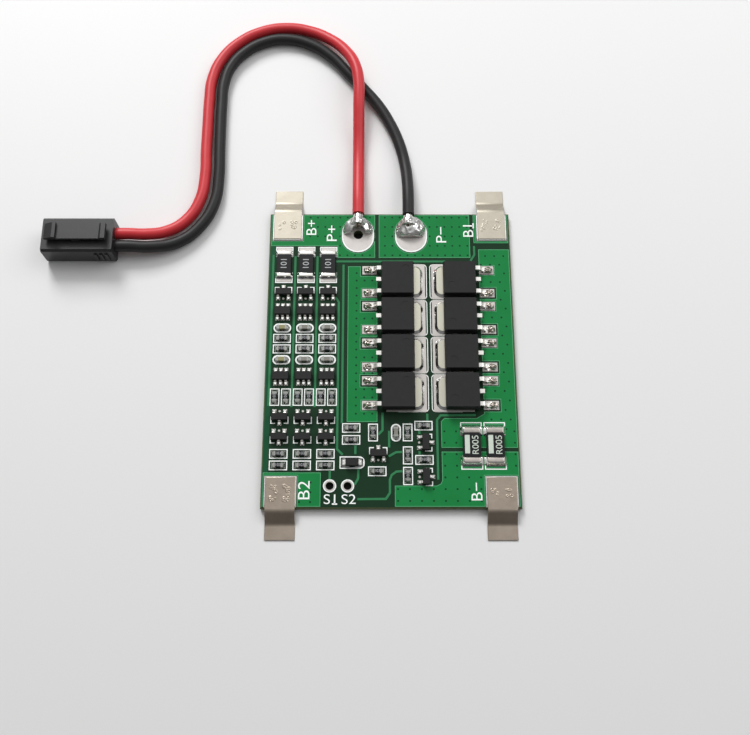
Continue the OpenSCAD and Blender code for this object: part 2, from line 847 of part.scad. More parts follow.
module chip_resistor_bodies() {
    color("dimgray")
        for (p = resistor_places)
            put(p) chip_body(chip_l, chip_w, chip_h, chip_end_l, wrap_t);
}

module chip_resistor_ends() {
    color("gainsboro")
        for (p = resistor_places)
            put(p) chip_ends(chip_l, chip_w, chip_h, chip_end_l, wrap_t);
}

// A capacitor is one ceramic block with a metal cup over each end.
module capacitor_block() {
    translate([-chip_l / 2 + wrap_t, -chip_w / 2 + wrap_t, wrap_t])
        cube([chip_l - 2 * wrap_t, chip_w - 2 * wrap_t, cap_h - 2 * wrap_t]);
}

module chip_capacitor_bodies() {
    color("tan")
        for (p = capacitor_places)
            put(p) capacitor_block();
}

module chip_capacitor_ends() {
    color("gainsboro")
        for (p = capacitor_places)
            for (turn = [0, 180])
                put(p + [0, 0, turn])
                    difference() {
                        translate([chip_l / 2 - chip_end_l, -chip_w / 2, 0])
                            cube([chip_end_l, chip_w, cap_h]);
                        capacitor_block();
                    }
}

// A shunt is a metal strip with a dark coat round its middle and wide bare ends.
module shunt_bodies() {
    color("dimgray")
        for (p = shunt_places)
            put(p)
                translate([-shunt_l / 2 + shunt_end_l, -shunt_w / 2, 0])
                    cube([shunt_l - 2 * shunt_end_l, shunt_w, shunt_h]);
}

module shunt_ends() {
    c = shunt_corner;
    color("gainsboro")
        for (p = shunt_places)
            for (turn = [0, 180])
                put(p + [0, 0, turn])
                    translate([shunt_l / 2 - shunt_end_l, 0, 0])
                        linear_extrude(shunt_h - 0.1) {
                            translate([0, -shunt_w / 2])
                                square([shunt_end_l - c, shunt_w]);
                            translate([0, c - shunt_w / 2])
                                square([shunt_end_l, shunt_w - 2 * c]);
                            for (side = [-1, 1])
                                translate([shunt_end_l - c, side * (shunt_w / 2 - c)])
                                    circle(c);
                        }
}

// ---------------------------------------------------------------- moulded packages

// A small moulding stands a little clear of the board; its pins leave it half way up,
// where its sides are upright.
module small_moulding(d, h) {
    translate([0, 0, mould_lift])
        moulding([mould_l, d, h - mould_lift], pin_exit_h - mould_lift, pin_exit_h + pin_t - mould_lift,
            mould_draft);
}

// A pin that leaves a body of depth d backwards, x from its middle.
module pin(x, d) {
    translate([x, d / 2, 0])
        rotate([0, 0, 90])
            side_view(bent_strip(0.05, pin_exit_h, pin_reach, pin_t, 0.05, 80), pin_w);
}

module signal_transistor_bodies() {
    color("dimgray")
        for (p = signal_places)
            put(p) small_moulding(signal_d, signal_h);
}

module signal_transistor_pins() {
    color("gainsboro")
        for (p = signal_places)
            put(p) {
                pin(0, signal_d);
                for (side = [-1, 1])
                    rotate([0, 0, 180]) pin(side * pin_pitch, signal_d);
            }
}

module monitor_bodies() {
    color("dimgray")
        for (p = monitor_places)
            put(p) small_moulding(monitor_d, monitor_h);
}

module monitor_pins() {
    color("gainsboro")
        for (p = monitor_places)
            for (turn = [0, 180])
                for (i = [-1:1])
                    put(p) rotate([0, 0, turn]) pin(i * pin_pitch, monitor_d);
}

// The diode stands on two flat leads that fold up against its ends.
module diode_body() {
    color("dimgray")
        put(diode_place)
            translate([0, 0, pin_t])
                moulding([diode_l, diode_w, diode_h - pin_t], diode_h / 4, diode_h / 2, mould_draft);
}

module diode_leads() {
    x0 = diode_l / 2 - diode_lead_reach;
    x1 = diode_l / 2;
    riser_h = pin_t + diode_h / 2;
    color("gainsboro")
        put(diode_place)
            for (turn = [0, 180])
                rotate([0, 0, turn])
                    side_view([
                        [x0, 0], [x1 + diode_lead_reach, 0], [x1 + diode_lead_reach, pin_t],
                        [x1 + pin_t, pin_t], [x1 + pin_t, riser_h], [x1, riser_h], [x1, pin_t], [x0, pin_t]
                    ], diode_lead_w);
}

// ---------------------------------------------------------------- leads and plug

// The stripped end of a lead, from inside the mound to the insulation.
module strands(dome, exit) {
    translate([exit.x, dome.y - strand_root_l, lead_z])
        rotate([-90, 0, 0])
            cylinder(h = exit.y - dome.y + strand_root_l, r = strand_d / 2);
}

// The solder mound on a lead's pad: a dome that stays on the pad, ends steeply in front
// and runs out along the strands, which pass through it.
module mound(pad_place, dome, front, exit) {
    ball_r = (dome_r * dome_r + mound_h * mound_h) / (2 * mound_h);
    difference() {
        union() {
            intersection() {
                translate([dome.x, dome.y, seat + mound_h - ball_r])
                    sphere(ball_r, $fn = 64);
                translate([pad_place.x, pad_place.y, seat])
                    linear_extrude(mound_h + 1)
                        lead_pad(-0.15);
                translate([dome.x - 2 * dome_r, front, 0])
                    cube([4 * dome_r, 4 * dome_r, lead_z + mound_h]);
            }
            translate([exit.x, dome.y, lead_z])
                rotate([-90, 0, 0])
                    cylinder(h = exit.y - throat_gap - dome.y, r1 = throat_r, r2 = strand_d / 2 + 0.15);
        }
        translate([-right_edge, -back_edge, seat - 2 * lead_d])
            cube([board_w, board_l, 2 * lead_d]);
        strands(dome, exit);
    }
}

module p_plus_solder() {
    color("gainsboro")
        difference() {
            mound(red_pad, red_dome, red_dome_front, red_route[0]);
            translate([red_hole.x, red_hole.y, 0])
                cylinder(h = seat + mound_h + lead_d, r = lead_hole_r + red_dome_notch);
        }
}

module p_minus_solder() {
    color("gainsboro")
        mound(black_pad, black_dome, black_dome_front, black_route[0]);
}

module p_plus_strands() {
    color("peru")
        strands(red_dome, red_route[0]);
}

module p_minus_strands() {
    color("peru")
        strands(black_dome, black_route[0]);
}

module red_lead() {
    color("crimson")
        tube(red_route, lead_d / 2);
}

module black_lead() {
    color("dimgray")
        tube(black_route, lead_d / 2);
}

// Puts the plug in its place. In its own frame its back face is at y = 0 and it points
// along -y.
module place_plug() {
    translate([plug_place.x, plug_place.y, 0])
        rotate([0, 0, -90])
            children();
}

// The latch is a lever over the plug's top: a bridge half way carries it, a hook stands
// at its front and a thumb rest at its back.
module plug_latch() {
    z0 = plug_h;
    z1 = plug_h + latch_gap;
    z2 = z1 + latch_t;
    front = 0.8 - plug_l;
    bridge = -plug_l / 2;
    translate([-latch_w / 2, 0, 0])
        rotate([90, 0, 90])
            linear_extrude(latch_w)
                polygon([
                    [bridge - 0.8, z0], [bridge + 0.8, z0], [bridge + 0.8, z1], [-1, z1],
                    [-1, z2 + 0.3], [-1.8, z2 + 0.3], [-2.2, z2], [front + 2.2, z2],
                    [front + 2.2, z2 + 0.6], [front + 1.6, z2 + 0.6], [front, z2 - 0.1],
                    [front, z1], [bridge - 0.8, z1]
                ]);
}

module plug_housing() {
    c = plug_corner;
    x = plug_w / 2;
    z = plug_h;
    mouth_w = plug_w - 2 * plug_wall;
    color("dimgray")
        place_plug() {
            difference() {
                rotate([90, 0, 0])
                    linear_extrude(plug_l)
                        polygon([[c - x, 0], [x - c, 0], [x, c], [x, z - c], [x - c, z], [c - x, z],
                            [-x, z - c], [-x, c]]);
                translate([-mouth_w / 2, -plug_l - 1, plug_wall])
                    cube([mouth_w, plug_mouth_l + 1, plug_h - 2 * plug_wall]);
                for (side = [-1, 1])
                    translate([side * plug_pitch / 2, -plug_port_l, plug_axis_h])
                        rotate([-90, 0, 0])
                            cylinder(h = plug_port_l + 1, r = lead_d / 2 + plug_port_gap);
            }
            plug_latch();
            for (side = [-1, 1])
                for (y = [-1.2, -2.2, -3.2])
                    translate([side * plug_w / 2 - 0.25, y - 0.25, plug_h / 4])
                        cube([0.5, 0.5, plug_h / 2]);
        }
}

// Two round pins with coned tips stand on the floor of the plug's mouth.
module plug_contacts() {
    l = plug_mouth_l - 1.2;
    color("gainsboro")
        place_plug()
            for (side = [-1, 1])
                translate([side * plug_pitch / 2, plug_mouth_l - plug_l, plug_axis_h])
                    rotate([90, 0, 0]) {
                        cylinder(h = l - 0.4, r = contact_r);
                        translate([0, 0, l - 0.4])
                            cylinder(h = 0.4, r1 = contact_r, r2 = contact_r / 2);
                    }
}

circuit_board();
copper_areas();
copper_tracks();
solder_pads();
lead_pads();
switch_rings();
b_plus_strip();
b1_strip();
b2_strip();
b_minus_strip();
strip_solder();
p_plus_solder();
p_minus_solder();
p_plus_strands();
p_minus_strands();
red_lead();
black_lead();
plug_housing();
plug_contacts();
for (i = [1:8]) {
    transistor_body(i);
    transistor_frame(i);
}
balance_resistor_bodies();
balance_resistor_ends();
shunt_bodies();
shunt_ends();
monitor_bodies();
monitor_pins();
signal_transistor_bodies();
signal_transistor_pins();
chip_resistor_bodies();
chip_resistor_ends();
chip_capacitor_bodies();
chip_capacitor_ends();
diode_body();
diode_leads();
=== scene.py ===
# %% [markdown]
# # A battery management board
#
# This board sits on a pack of lithium cells, balances them and cuts the output off when
# something is wrong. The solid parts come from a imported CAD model. Here they get their real
# finishes, and everything that is too fine for the CAD model is added: the white print, the
# plated holes, the solder, the twisted strands and the marks on the nickel strips.

# %% Load the solid parts
import math
import random

import bmesh
import bpy
from mathutils import Matrix, Vector, noise
from mathutils.bvhtree import BVHTree


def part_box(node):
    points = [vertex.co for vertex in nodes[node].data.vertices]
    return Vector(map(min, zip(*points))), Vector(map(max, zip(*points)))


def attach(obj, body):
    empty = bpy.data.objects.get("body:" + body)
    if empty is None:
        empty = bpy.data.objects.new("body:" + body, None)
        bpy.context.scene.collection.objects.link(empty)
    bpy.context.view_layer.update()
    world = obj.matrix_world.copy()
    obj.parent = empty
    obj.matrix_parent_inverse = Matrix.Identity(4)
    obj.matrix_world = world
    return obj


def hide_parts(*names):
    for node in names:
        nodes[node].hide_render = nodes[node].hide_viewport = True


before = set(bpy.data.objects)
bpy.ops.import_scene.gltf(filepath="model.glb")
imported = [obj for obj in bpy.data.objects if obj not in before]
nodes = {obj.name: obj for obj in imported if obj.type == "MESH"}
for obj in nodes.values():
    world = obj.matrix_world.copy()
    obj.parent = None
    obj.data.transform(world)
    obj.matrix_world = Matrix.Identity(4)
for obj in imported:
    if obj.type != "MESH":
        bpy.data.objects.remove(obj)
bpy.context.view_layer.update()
MM = 0.001
print("solid parts:", len(nodes))

# %% [markdown]
# ## The camera
#
# The board is seen from high in front, as it would be on a bench. The camera could be aimed
# with a constraint, but then other views could not move it. So it is placed once, and turned
# by its three angles: the height above the horizon, the turn round the board and a small roll.

# %% Place the camera
CAMERA_PLACE = Vector((-3.05, -56.65, 165.6)) * MM
CAMERA_HEIGHT = math.radians(71.8)
CAMERA_TURN = math.radians(-0.3)
CAMERA_ROLL = math.radians(0.3)
LENS = 46.32


def add_object(name, data):
    """An object in the scene that shows a mesh, a curve, a lamp or a camera."""
    thing = bpy.data.objects.new(name, data)
    bpy.context.scene.collection.objects.link(thing)
    return thing


camera = add_object("camera", bpy.data.cameras.new("camera"))
camera.data.sensor_width = 36
camera.data.lens = LENS
camera.data.clip_start = 1 * MM
camera.location = CAMERA_PLACE
tilt = Matrix.Rotation(math.pi / 2 - CAMERA_HEIGHT, 3, "X")
turn = Matrix.Rotation(CAMERA_TURN, 3, "Z")
roll = Matrix.Rotation(CAMERA_ROLL, 3, "Z")
camera.rotation_euler = (turn @ tilt @ roll).to_euler()
bpy.context.scene.camera = camera
print("camera above the board, mm:", round(camera.location.z / MM, 1))

# %% [markdown]
# ## Colours and nodes
#
# Colours are written as the hex values of a colour picker. Shaders work with linear light,
# so one function turns the first into the second. Another adds one node with its settings,
# and links any input that is given an output instead of a number. A third turns the size of
# a grain, in millimetres, into the scale that a texture asks for.

# %% Three helpers for every material
def linear(hex_colour):
    """The linear RGBA of an sRGB colour such as #22864A."""
    channels = [int(hex_colour[i:i + 2], 16) / 255 for i in (1, 3, 5)]
    return [c / 12.92 if c <= 0.04045 else ((c + 0.055) / 1.055) ** 2.4 for c in channels] + [1]


def add_node(material, kind, settings=None, inputs=None):
    """A node of that kind; an input takes a value or another node's output."""
    node = material.node_tree.nodes.new(kind)
    for key, value in (settings or {}).items():
        setattr(node, key, value)
    for key, value in (inputs or {}).items():
        if isinstance(value, bpy.types.NodeSocket):
            material.node_tree.links.new(value, node.inputs[key])
        else:
            node.inputs[key].default_value = value
    return node


def per_mm(size):
    """The scale at which a texture repeats about every so many millimetres."""
    return 1 / (size * MM)


print("scale of a grain of 1 mm:", per_mm(1))

# %% [markdown]
# ## How a finish is built
#
# A surface is never one flat colour. Each finish is two close colours, mixed by a noise whose
# grain has a real size, under a fine bump. A material per colour would do for a piece that
# has a stretch of another colour, but its mesh would have to be cut there. So that colour is
# laid over the finish afterwards, by a factor that reads the place or the direction.

# %% The start of a finish
def finish(name, colours, grain, roughness, metallic=0, bump=0.004, bump_grain=None, **sockets):
    """A Principled material: two colours in a grain, and a bump, both sized in millimetres."""
    material = bpy.data.materials.new(name)
    material.use_nodes = True
    shader = material.node_tree.nodes["Principled BSDF"]
    shader.inputs["Metallic"].default_value = metallic
    shader.inputs["Roughness"].default_value = roughness
    for key, value in sockets.items():
        shader.inputs[key.replace("_", " ")].default_value = value
    place = add_node(material, "ShaderNodeTexCoord").outputs["Object"]
    grain_noise = add_node(material, "ShaderNodeTexNoise",
                           inputs={"Vector": place, "Scale": per_mm(grain), "Detail": 3})
    mix = add_node(material, "ShaderNodeMix", {"data_type": "RGBA"},
                   {"Factor": grain_noise.outputs["Fac"],
                    "A": linear(colours[0]), "B": linear(colours[1])})
    fine = add_node(material, "ShaderNodeTexNoise",
                    inputs={"Vector": place, "Scale": per_mm(bump_grain or grain / 3), "Detail": 2})
    surface = add_node(material, "ShaderNodeBump",
                       inputs={"Strength": 1, "Distance": bump * MM, "Height": fine.outputs["Fac"]})
    links = material.node_tree.links
    links.new(mix.outputs["Result"], shader.inputs["Base Color"])
    links.new(surface.outputs["Normal"], shader.inputs["Normal"])
    return material


print("the mask's green in linear light:", [round(c, 3) for c in linear("#1C8446")])


# %% Another colour on a stretch of a finish
def place_of(material):
    """The Object coordinates that the grain of a finish reads."""
    return material.node_tree.nodes["Texture Coordinate"].outputs["Object"]


def recolour(material, factor, colour):
    """Lays another colour over a finish, as strongly as the factor says from 0 to 1."""
    base = material.node_tree.nodes["Principled BSDF"].inputs["Base Color"]
    mix = add_node(material, "ShaderNodeMix", {"data_type": "RGBA"},
                   {"Factor": factor, "A": base.links[0].from_socket, "B": colour})
    material.node_tree.links.new(mix.outputs["Result"], base)


# %% [markdown]
# ## The leads
#
# Two stranded copper leads in soft vinyl carry the output to the plug. Such a lead is limp
# enough to lie where it is put and stiff enough to bend in wide curves. Each is one smooth
# curve through listed points: straight out of its solder, down to the surface, the
# red one over the black one, round in an arch, and straight into the plug.

# %% The routes of the two leads
# Millimetres: the leads' diameter, the height of their undersides where they leave the
# solder, and on each route the places x and y and the height of the underside there.
LEAD_D = 2.2
LIFT = 1.35
RED_ROUTE = [
    (-5.9, 27.4, LIFT), (-5.9, 31, LIFT), (-5.9, 34.8, 0.8), (-5.9, 38.8, 0.2), (-5.9, 43, 0.4),
    (-5.9, 47, 1.2), (-5.9, 51, 2.1), (-5.9, 55, 2.5), (-6.6, 59.3, 2.4), (-8.6, 63.3, 1.6),
    (-11.8, 66.7, 0.7), (-15.9, 69, 0.1), (-20.6, 69.8, 0), (-25.6, 68.9, 0), (-30.1, 66.3, 0),
    (-33.4, 62.4, 0), (-35.1, 57.6, 0), (-35.4, 52.5, 0), (-35.4, 47, 0), (-35.4, 41.5, 0),
    (-35.3, 36, 0), (-36, 31, 0), (-38.2, 26.9, 0), (-41.8, 24.2, 0.4), (-45.6, 23.3, 1),
    (-48.5, 23.25, 1.3), (-52.5, 23.25, 1.3),
]
BLACK_ROUTE = [
    (3.5, 27.2, LIFT), (3.5, 30.8, LIFT), (3.4, 34.6, 0.8), (3, 38.6, 0.1), (2, 43, 0),
    (0.3, 47.4, 0), (-2, 51.6, 0), (-4.9, 55.4, 0), (-8, 59.1, 0), (-11.2, 62.8, 0),
    (-15.4, 65.8, 0), (-20.6, 67.2, 0), (-24.9, 66.5, 0), (-28.6, 64.3, 0), (-31.4, 60.9, 0),
    (-32.7, 56.7, 0), (-32.9, 52, 0), (-32.9, 46.8, 0), (-32.8, 41.5, 0), (-32.7, 36, 0),
    (-33.2, 30.6, 0), (-35.6, 25.6, 0), (-39.6, 22.1, 0.2), (-44.6, 20.8, 0.9),
    (-48.5, 20.75, 1.3), (-52.5, 20.75, 1.3),
]
print("leads:", len(RED_ROUTE), "and", len(BLACK_ROUTE), "points")


# %% Two round leads
def lead(name, route, material):
    """A round lead whose centreline is a smooth curve through the route."""
    curve = bpy.data.curves.new(name, "CURVE")
    curve.dimensions = "3D"
    curve.resolution_u = 8
    curve.bevel_depth = LEAD_D / 2 * MM
    curve.bevel_resolution = 5
    curve.use_fill_caps = True
    spline = curve.splines.new("BEZIER")
    spline.bezier_points.add(len(route) - 1)
    for point, (x, y, lift) in zip(spline.bezier_points, route):
        point.co = Vector((x, y, lift + LEAD_D / 2)) * MM
        point.handle_left_type = point.handle_right_type = "AUTO"
    curve.materials.append(material)
    return add_object(name, curve)


# Soft vinyl: a clean colour with a dull shine, and hardly any grain.
red_vinyl = finish("red_vinyl", ("#D2353B", "#C22A33"), 2.5, 0.42, bump=0.01, Specular_IOR_Level=0.4)
black_vinyl = finish("black_vinyl", ("#2B2B2B", "#222223"), 2.5, 0.45, bump=0.01,
                     Specular_IOR_Level=0.25)
red_lead = lead("red_output_lead", RED_ROUTE, red_vinyl)
black_lead = lead("black_output_lead", BLACK_ROUTE, black_vinyl)
for piece, node, slot in ((red_lead, "red_lead", "red_insulation"),
                          (black_lead, "black_lead", "black_insulation")):
    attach(piece, "root")
    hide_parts(node)
print("diameter of the leads, mm:", LEAD_D)

# %% [markdown]
# ## Reading the solid parts
#
# One CAD node may hold many like solids, such as all the ends of all the chips. A print or a
# drop of solder has to sit on each of them, so their places are read from the node's mesh:
# its loose triangles are merged, and each island of joined vertices is one solid.

# %% Find the separate solids of a node
def merged(node):
    """A bmesh copy of a CAD node with its loose triangles joined."""
    shape = bmesh.new()
    shape.from_mesh(nodes[node].data)
    bmesh.ops.remove_doubles(shape, verts=shape.verts, dist=1e-7)
    return shape


def solids_of(node):
    """The (lowest corner, highest corner) of each separate solid in a CAD node."""
    shape = merged(node)
    waiting = set(shape.verts)
    found = []
    for seed in shape.verts:
        if seed not in waiting:
            continue
        waiting.remove(seed)
        island = [seed]
        for vert in island:
            for edge in vert.link_edges:
                other = edge.other_vert(vert)
                if other in waiting:
                    waiting.remove(other)
                    island.append(other)
        low = Vector(min(v.co[i] for v in island) for i in range(3))
        high = Vector(max(v.co[i] for v in island) for i in range(3))
        found.append((low, high))
    shape.free()
    return sorted(found, key=lambda box: (round(box[0].x, 5), round(box[0].y, 5)))


def middle(box):
    """The middle of a box on the board."""
    return (box[0] + box[1]) / 2


print("ends of the chip resistors:", len(solids_of("chip_resistor_ends")))

# %% [markdown]
# ## Adding a piece
#
# A new piece is shaped as a bmesh, in its place on the board. Then it becomes a mesh object at
# the origin, like the CAD nodes, and rides on the board. It is shaded smooth up to an angle,
# past which an edge stays sharp.

# %% Make a piece of a finished shape
def mesh_of(name, shape):
    """A mesh made of a finished bmesh, which isn't needed any more."""
    mesh = bpy.data.meshes.new(name)
    shape.to_mesh(mesh)
    shape.free()
    return mesh


def add_piece(name, shape, material, replaces=(), smooth_below=30):
    """Turns a finished bmesh into a piece that rides on the board."""
    mesh = mesh_of(name, shape)
    mesh.materials.append(material)
    mesh.shade_smooth()
    mesh.set_sharp_from_angle(angle=math.radians(smooth_below))
    piece = add_object(name, mesh)
    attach(piece, "root")
    if replaces:
        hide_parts(*replaces)
    print(name, len(mesh.polygons), "faces")
    return piece


# %% The heights that new pieces stand on
board_low, board_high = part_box("circuit_board")
board_top = board_high.z
copper_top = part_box("copper_areas")[1].z
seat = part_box("solder_pads")[1].z
print("board, mm:", [round(c / MM, 2) for c in board_high - board_low])

# %% [markdown]
# ## The laminate
#
# The board is glass cloth in epoxy under a coat of green solder mask. Where there is no
# copper below, the mask looks dark. The cut edges show the bare laminate with its plies, in an
# olive painted darker than the laminate, as painted shade on the edges. One material does both:
# the face's own direction tells a top from an edge.

# %% The board's mask and its cut edges
# A face is flat if its normal rises or falls by more than this, and otherwise it is an edge.
FLAT = 0.9
MARGIN_W = 1.1 * MM
MARGIN_FADE = 0.15 * MM
# Solder mask over bare laminate: dark green with a dull gloss, and the cloth faintly showing.
laminate = finish("mask_over_laminate", ("#1A3722", "#163120"), 4, 0.42, bump=0.006, bump_grain=0.6,
                  Specular_IOR_Level=0.1)
# Copper on the far side shines faintly through a margin along the left edge.
across = add_node(laminate, "ShaderNodeSeparateXYZ",
                  inputs={"Vector": place_of(laminate)}).outputs["X"]
margin = add_node(laminate, "ShaderNodeMapRange",
                  inputs={"Value": across, "From Min": board_low.x + MARGIN_W + MARGIN_FADE,
                          "From Max": board_low.x + MARGIN_W})
recolour(laminate, margin.outputs["Result"], linear("#1A5034"))
# The plies on a cut edge are a noise of 0.15 mm, drawn out along the board.
# Their olives are darkened as painted shade.
normal = add_node(laminate, "ShaderNodeNewGeometry").outputs["Normal"]
upward = add_node(laminate, "ShaderNodeSeparateXYZ", inputs={"Vector": normal}).outputs["Z"]
levelness = add_node(laminate, "ShaderNodeMath", {"operation": "ABSOLUTE"}, {0: upward})
is_edge = add_node(laminate, "ShaderNodeMath", {"operation": "LESS_THAN"},
                   {0: levelness.outputs[0], 1: FLAT})
drawn_out = add_node(laminate, "ShaderNodeMapping",
                     inputs={"Vector": place_of(laminate), "Scale": (0.15, 0.15, 1)})
plies = add_node(laminate, "ShaderNodeTexNoise",
                 inputs={"Vector": drawn_out.outputs["Vector"], "Scale": per_mm(0.15), "Detail": 2})
edge_plies_and_shade = add_node(laminate, "ShaderNodeMix", {"data_type": "RGBA"},
                       {"Factor": plies.outputs["Fac"], "A": linear("#6F7855"),
                        "B": linear("#4A553A")})
recolour(laminate, is_edge.outputs[0], edge_plies_and_shade.outputs["Result"])
print("nodes in the laminate's finish:", len(laminate.node_tree.nodes))

# %% The mask over the copper
# Solder mask over copper: bright green, because the copper shines through it.
area_mask = finish("mask_over_copper", ("#1C8446", "#167539"), 5, 0.4, bump=0.006, bump_grain=0.8,
                   Specular_IOR_Level=0.1)
# Mask over a narrow track: thinner, so it looks paler and greyer.
track_mask = finish("mask_over_tracks", ("#3A8257", "#31774D"), 3, 0.4, bump=0.004,
                    Specular_IOR_Level=0.1)
# Where the mask runs down over the edge of a copper area it is thin, and catches the light.
edge_mask = finish("mask_over_copper_edge", ("#58AA78", "#4A9C69"), 3, 0.35, bump=0.004,
                   Specular_IOR_Level=0.3)
print("finishes so far:", len(bpy.data.materials))

# %% [markdown]
# ## Metals
#
# Hot-dipped tin is pale and uneven, solder is brighter and smoother, and nickel is warmer
# than both. A metal shows little more than what it mirrors, here a bright ceiling and dark
# walls. Its colour only tints that, and its roughness decides how far it spreads.

# %% Tin and solder
# Tin dipped on copper pads: pale, a little cloudy.
tinned_pad = finish("tinned_pad", ("#CAC5C1", "#BAB5B1"), 0.9, 0.5, metallic=0.4, bump=0.012)
# Tin-lead solder, cooled in air: bright, with soft ripples.
solder = finish("solder", ("#F0F0EE", "#DDDCDA"), 0.8, 0.13, metallic=1, bump=0.03, bump_grain=0.5)
# The same solder where it froze slowly, round the leads: softer reflections.
slow_solder = finish("slow_solder", ("#EDEDEB", "#D2D1CE"), 0.8, 0.24, metallic=1, bump=0.02,
                     bump_grain=0.5)
# Matt tin on stamped leads and pins, and on the ends of the balancing resistors: pale, soft.
stamped_tin = finish("tin_on_leads", ("#F2F0EC", "#DAD7D0"), 0.7, 0.3, metallic=0.75, bump=0.01)
# The ends of the smallest chips: thin tin, half drowned in flux, so they look grey.
dull_tin = finish("fluxed_tin", ("#A9AAA6", "#8B8D88"), 0.6, 0.3, metallic=0.75, bump=0.01)
# The thin solder that climbs those ends.
thin_solder = finish("thin_solder", ("#A8A9A6", "#8F918D"), 0.8, 0.16, metallic=1, bump=0.03,
                     bump_grain=0.5)
# Solder over the feet of the power transistors, browned by flux and painted darker than the other
# solder as painted shade.
foot_solder_and_shade = finish("browned_and_shaded_solder", ("#C2B8AE", "#A0978E"), 0.6, 0.22, metallic=1, bump=0.02,
                     bump_grain=0.5)
print("finishes so far:", len(bpy.data.materials))

# %% Tin on the frames of the power transistors
# Matt tin once more. The tabs were heated most, so they are greyer and more olive than the
# leads. They lie within this reach of the middle between the two rows.
TAB_REACH = 3.5 * MM
frame_tin = finish("tin_on_frames", ("#F2F0EC", "#DAD7D0"), 0.7, 0.3, metallic=0.75, bump=0.01)
row_middle = (middle(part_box("transistor_body_1")).x + middle(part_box("transistor_body_5")).x) / 2
across = add_node(frame_tin, "ShaderNodeSeparateXYZ",
                  inputs={"Vector": place_of(frame_tin)}).outputs["X"]
is_tab = add_node(frame_tin, "ShaderNodeMath", {"operation": "COMPARE"},
                  {0: across, 1: row_middle, 2: TAB_REACH})
recolour(frame_tin, is_tab.outputs[0], linear("#C6C4B4"))
print("middle between the transistors, mm:", round(row_middle / MM, 2))

# %% Nickel, strands and alloys
# Bare nickel strip: rolled, slightly warm, with fine lines along its length.
nickel = finish("rolled_nickel", ("#BAB4A7", "#A59E90"), 2.2, 0.5, metallic=0.95, bump=0.008,
                bump_grain=0.25)
# The same strip, painted duller and browner for the strips at the front: painted shade and a painted
# brown reflection.
nickel_in_painted_shade = finish("nickel_with_painted_shade", ("#B1A597", "#978B7E"), 1.8, 0.33, metallic=0.95, bump=0.008,
                     bump_grain=0.25)
# Tinned copper strands: pale, with the copper showing through here and there.
tinned_strand = finish("tinned_strands", ("#DAD5CC", "#C9B49E"), 0.5, 0.3, metallic=1, bump=0.01)
# The shunts' resistance alloy, lightly tinned: warmer than the other metals.
shunt_alloy = finish("tinned_alloy", ("#C9C3BD", "#ADA69F"), 0.9, 0.28, metallic=0.85, bump=0.01)
# Phosphor bronze plated with tin: a dull silver.
contact_tin = finish("contact_tin", ("#C9C5BB", "#B3AD9F"), 0.8, 0.33, metallic=1, bump=0.005)
print("finishes so far:", len(bpy.data.materials))

# %% [markdown]
# ## Plastics and ceramics
#
# The transistors are pressed from black epoxy full of silica, which leaves a matt surface.
# The resistors are white ceramic under a black glass print. The capacitors are bare ceramic.

# %% Epoxy, glass and ceramic
# Transfer-moulded epoxy: charcoal, matt, with a fine sandy grain.
epoxy = finish("moulded_epoxy", ("#292929", "#232324"), 1.2, 0.62, bump=0.01, bump_grain=0.12,
               Specular_IOR_Level=0.2)
# Fired black glass over a resistor's track.
resistor_glass = finish("resistor_glass", ("#1C1D1F", "#151618"), 0.8, 0.38, bump=0.004,
                        Specular_IOR_Level=0.2)
# Sintered ceramic: a dull warm grey.
ceramic = finish("capacitor_ceramic", ("#85847A", "#74736B"), 0.8, 0.45, bump=0.004)
# The capacitor in the left column comes from another reel, whose ceramic is olive.
LEFT_COLUMN = board_low.x + 4.5 * MM
across = add_node(ceramic, "ShaderNodeSeparateXYZ", inputs={"Vector": place_of(ceramic)}).outputs["X"]
in_left_column = add_node(ceramic, "ShaderNodeMath", {"operation": "LESS_THAN"},
                          {0: across, 1: LEFT_COLUMN})
recolour(ceramic, in_left_column.outputs[0], linear("#8C8A5C"))
# Nylon plug: near black with a soft shine.
nylon = finish("black_nylon", ("#2A2A2C", "#222224"), 1.5, 0.4, bump=0.01, bump_grain=0.2)
print("finishes so far:", len(bpy.data.materials))

# %% [markdown]
# ## Dressing the solid parts
#
# Where the CAD shape is right, the node stays and only gets its finish. Its name says what
# most nodes are made of, and a short table holds the others.

# %% Give each solid part its finish
FINISHES = {
    "circuit_board": laminate,
    "copper_areas": area_mask,
    "copper_tracks": track_mask,
    "solder_pads": tinned_pad,
    "lead_pads": tinned_pad,
    "switch_rings": tinned_pad,
    "strip_solder": solder,
    "plug_contacts": contact_tin,
    "shunt_ends": shunt_alloy,
    "plug_housing": nylon,
    "chip_capacitor_bodies": ceramic,
    "chip_capacitor_ends": dull_tin,
    "chip_resistor_ends": dull_tin,
}
for node, piece in nodes.items():
    if "strip" in node and "solder" not in node:
        material = nickel
    elif "frame" in node:
        material = frame_tin
    elif node.endswith(("_ends", "_pins", "_leads")):
        material = stamped_tin
    elif node.startswith(("transistor_body", "signal", "monitor", "diode")):
        material = epoxy
    else:
        material = resistor_glass
    material = FINISHES.get(node, material)
    for slot in piece.material_slots:
        slot.material = material
print("dressed parts:", len(nodes))

# %% [markdown]
# ## Bright edges of the copper
#
# Each copper area stands a little above the laminate, and its rim shows as a thin pale line.
# The rim is cut from the CAD copper itself: only its top faces are kept, the whole region is
# inset, and the narrow band that the inset makes is the rim.

# %% The rims of the copper areas
RIM_W = 0.11 * MM
RIM_LIFT = 0.004 * MM
rims = merged("copper_areas")
not_top = [f for f in rims.faces
           if f.normal.z < FLAT or f.calc_center_median().z < copper_top - RIM_LIFT / 4]
bmesh.ops.delete(rims, geom=not_top, context="FACES")
band = bmesh.ops.inset_region(rims, faces=rims.faces[:], thickness=RIM_W, use_boundary=True,
                              use_even_offset=True)["faces"]
bmesh.ops.delete(rims, geom=[f for f in rims.faces if f not in set(band)], context="FACES")
bmesh.ops.translate(rims, vec=(0, 0, RIM_LIFT), verts=rims.verts)
add_piece("copper_rims", rims, edge_mask)

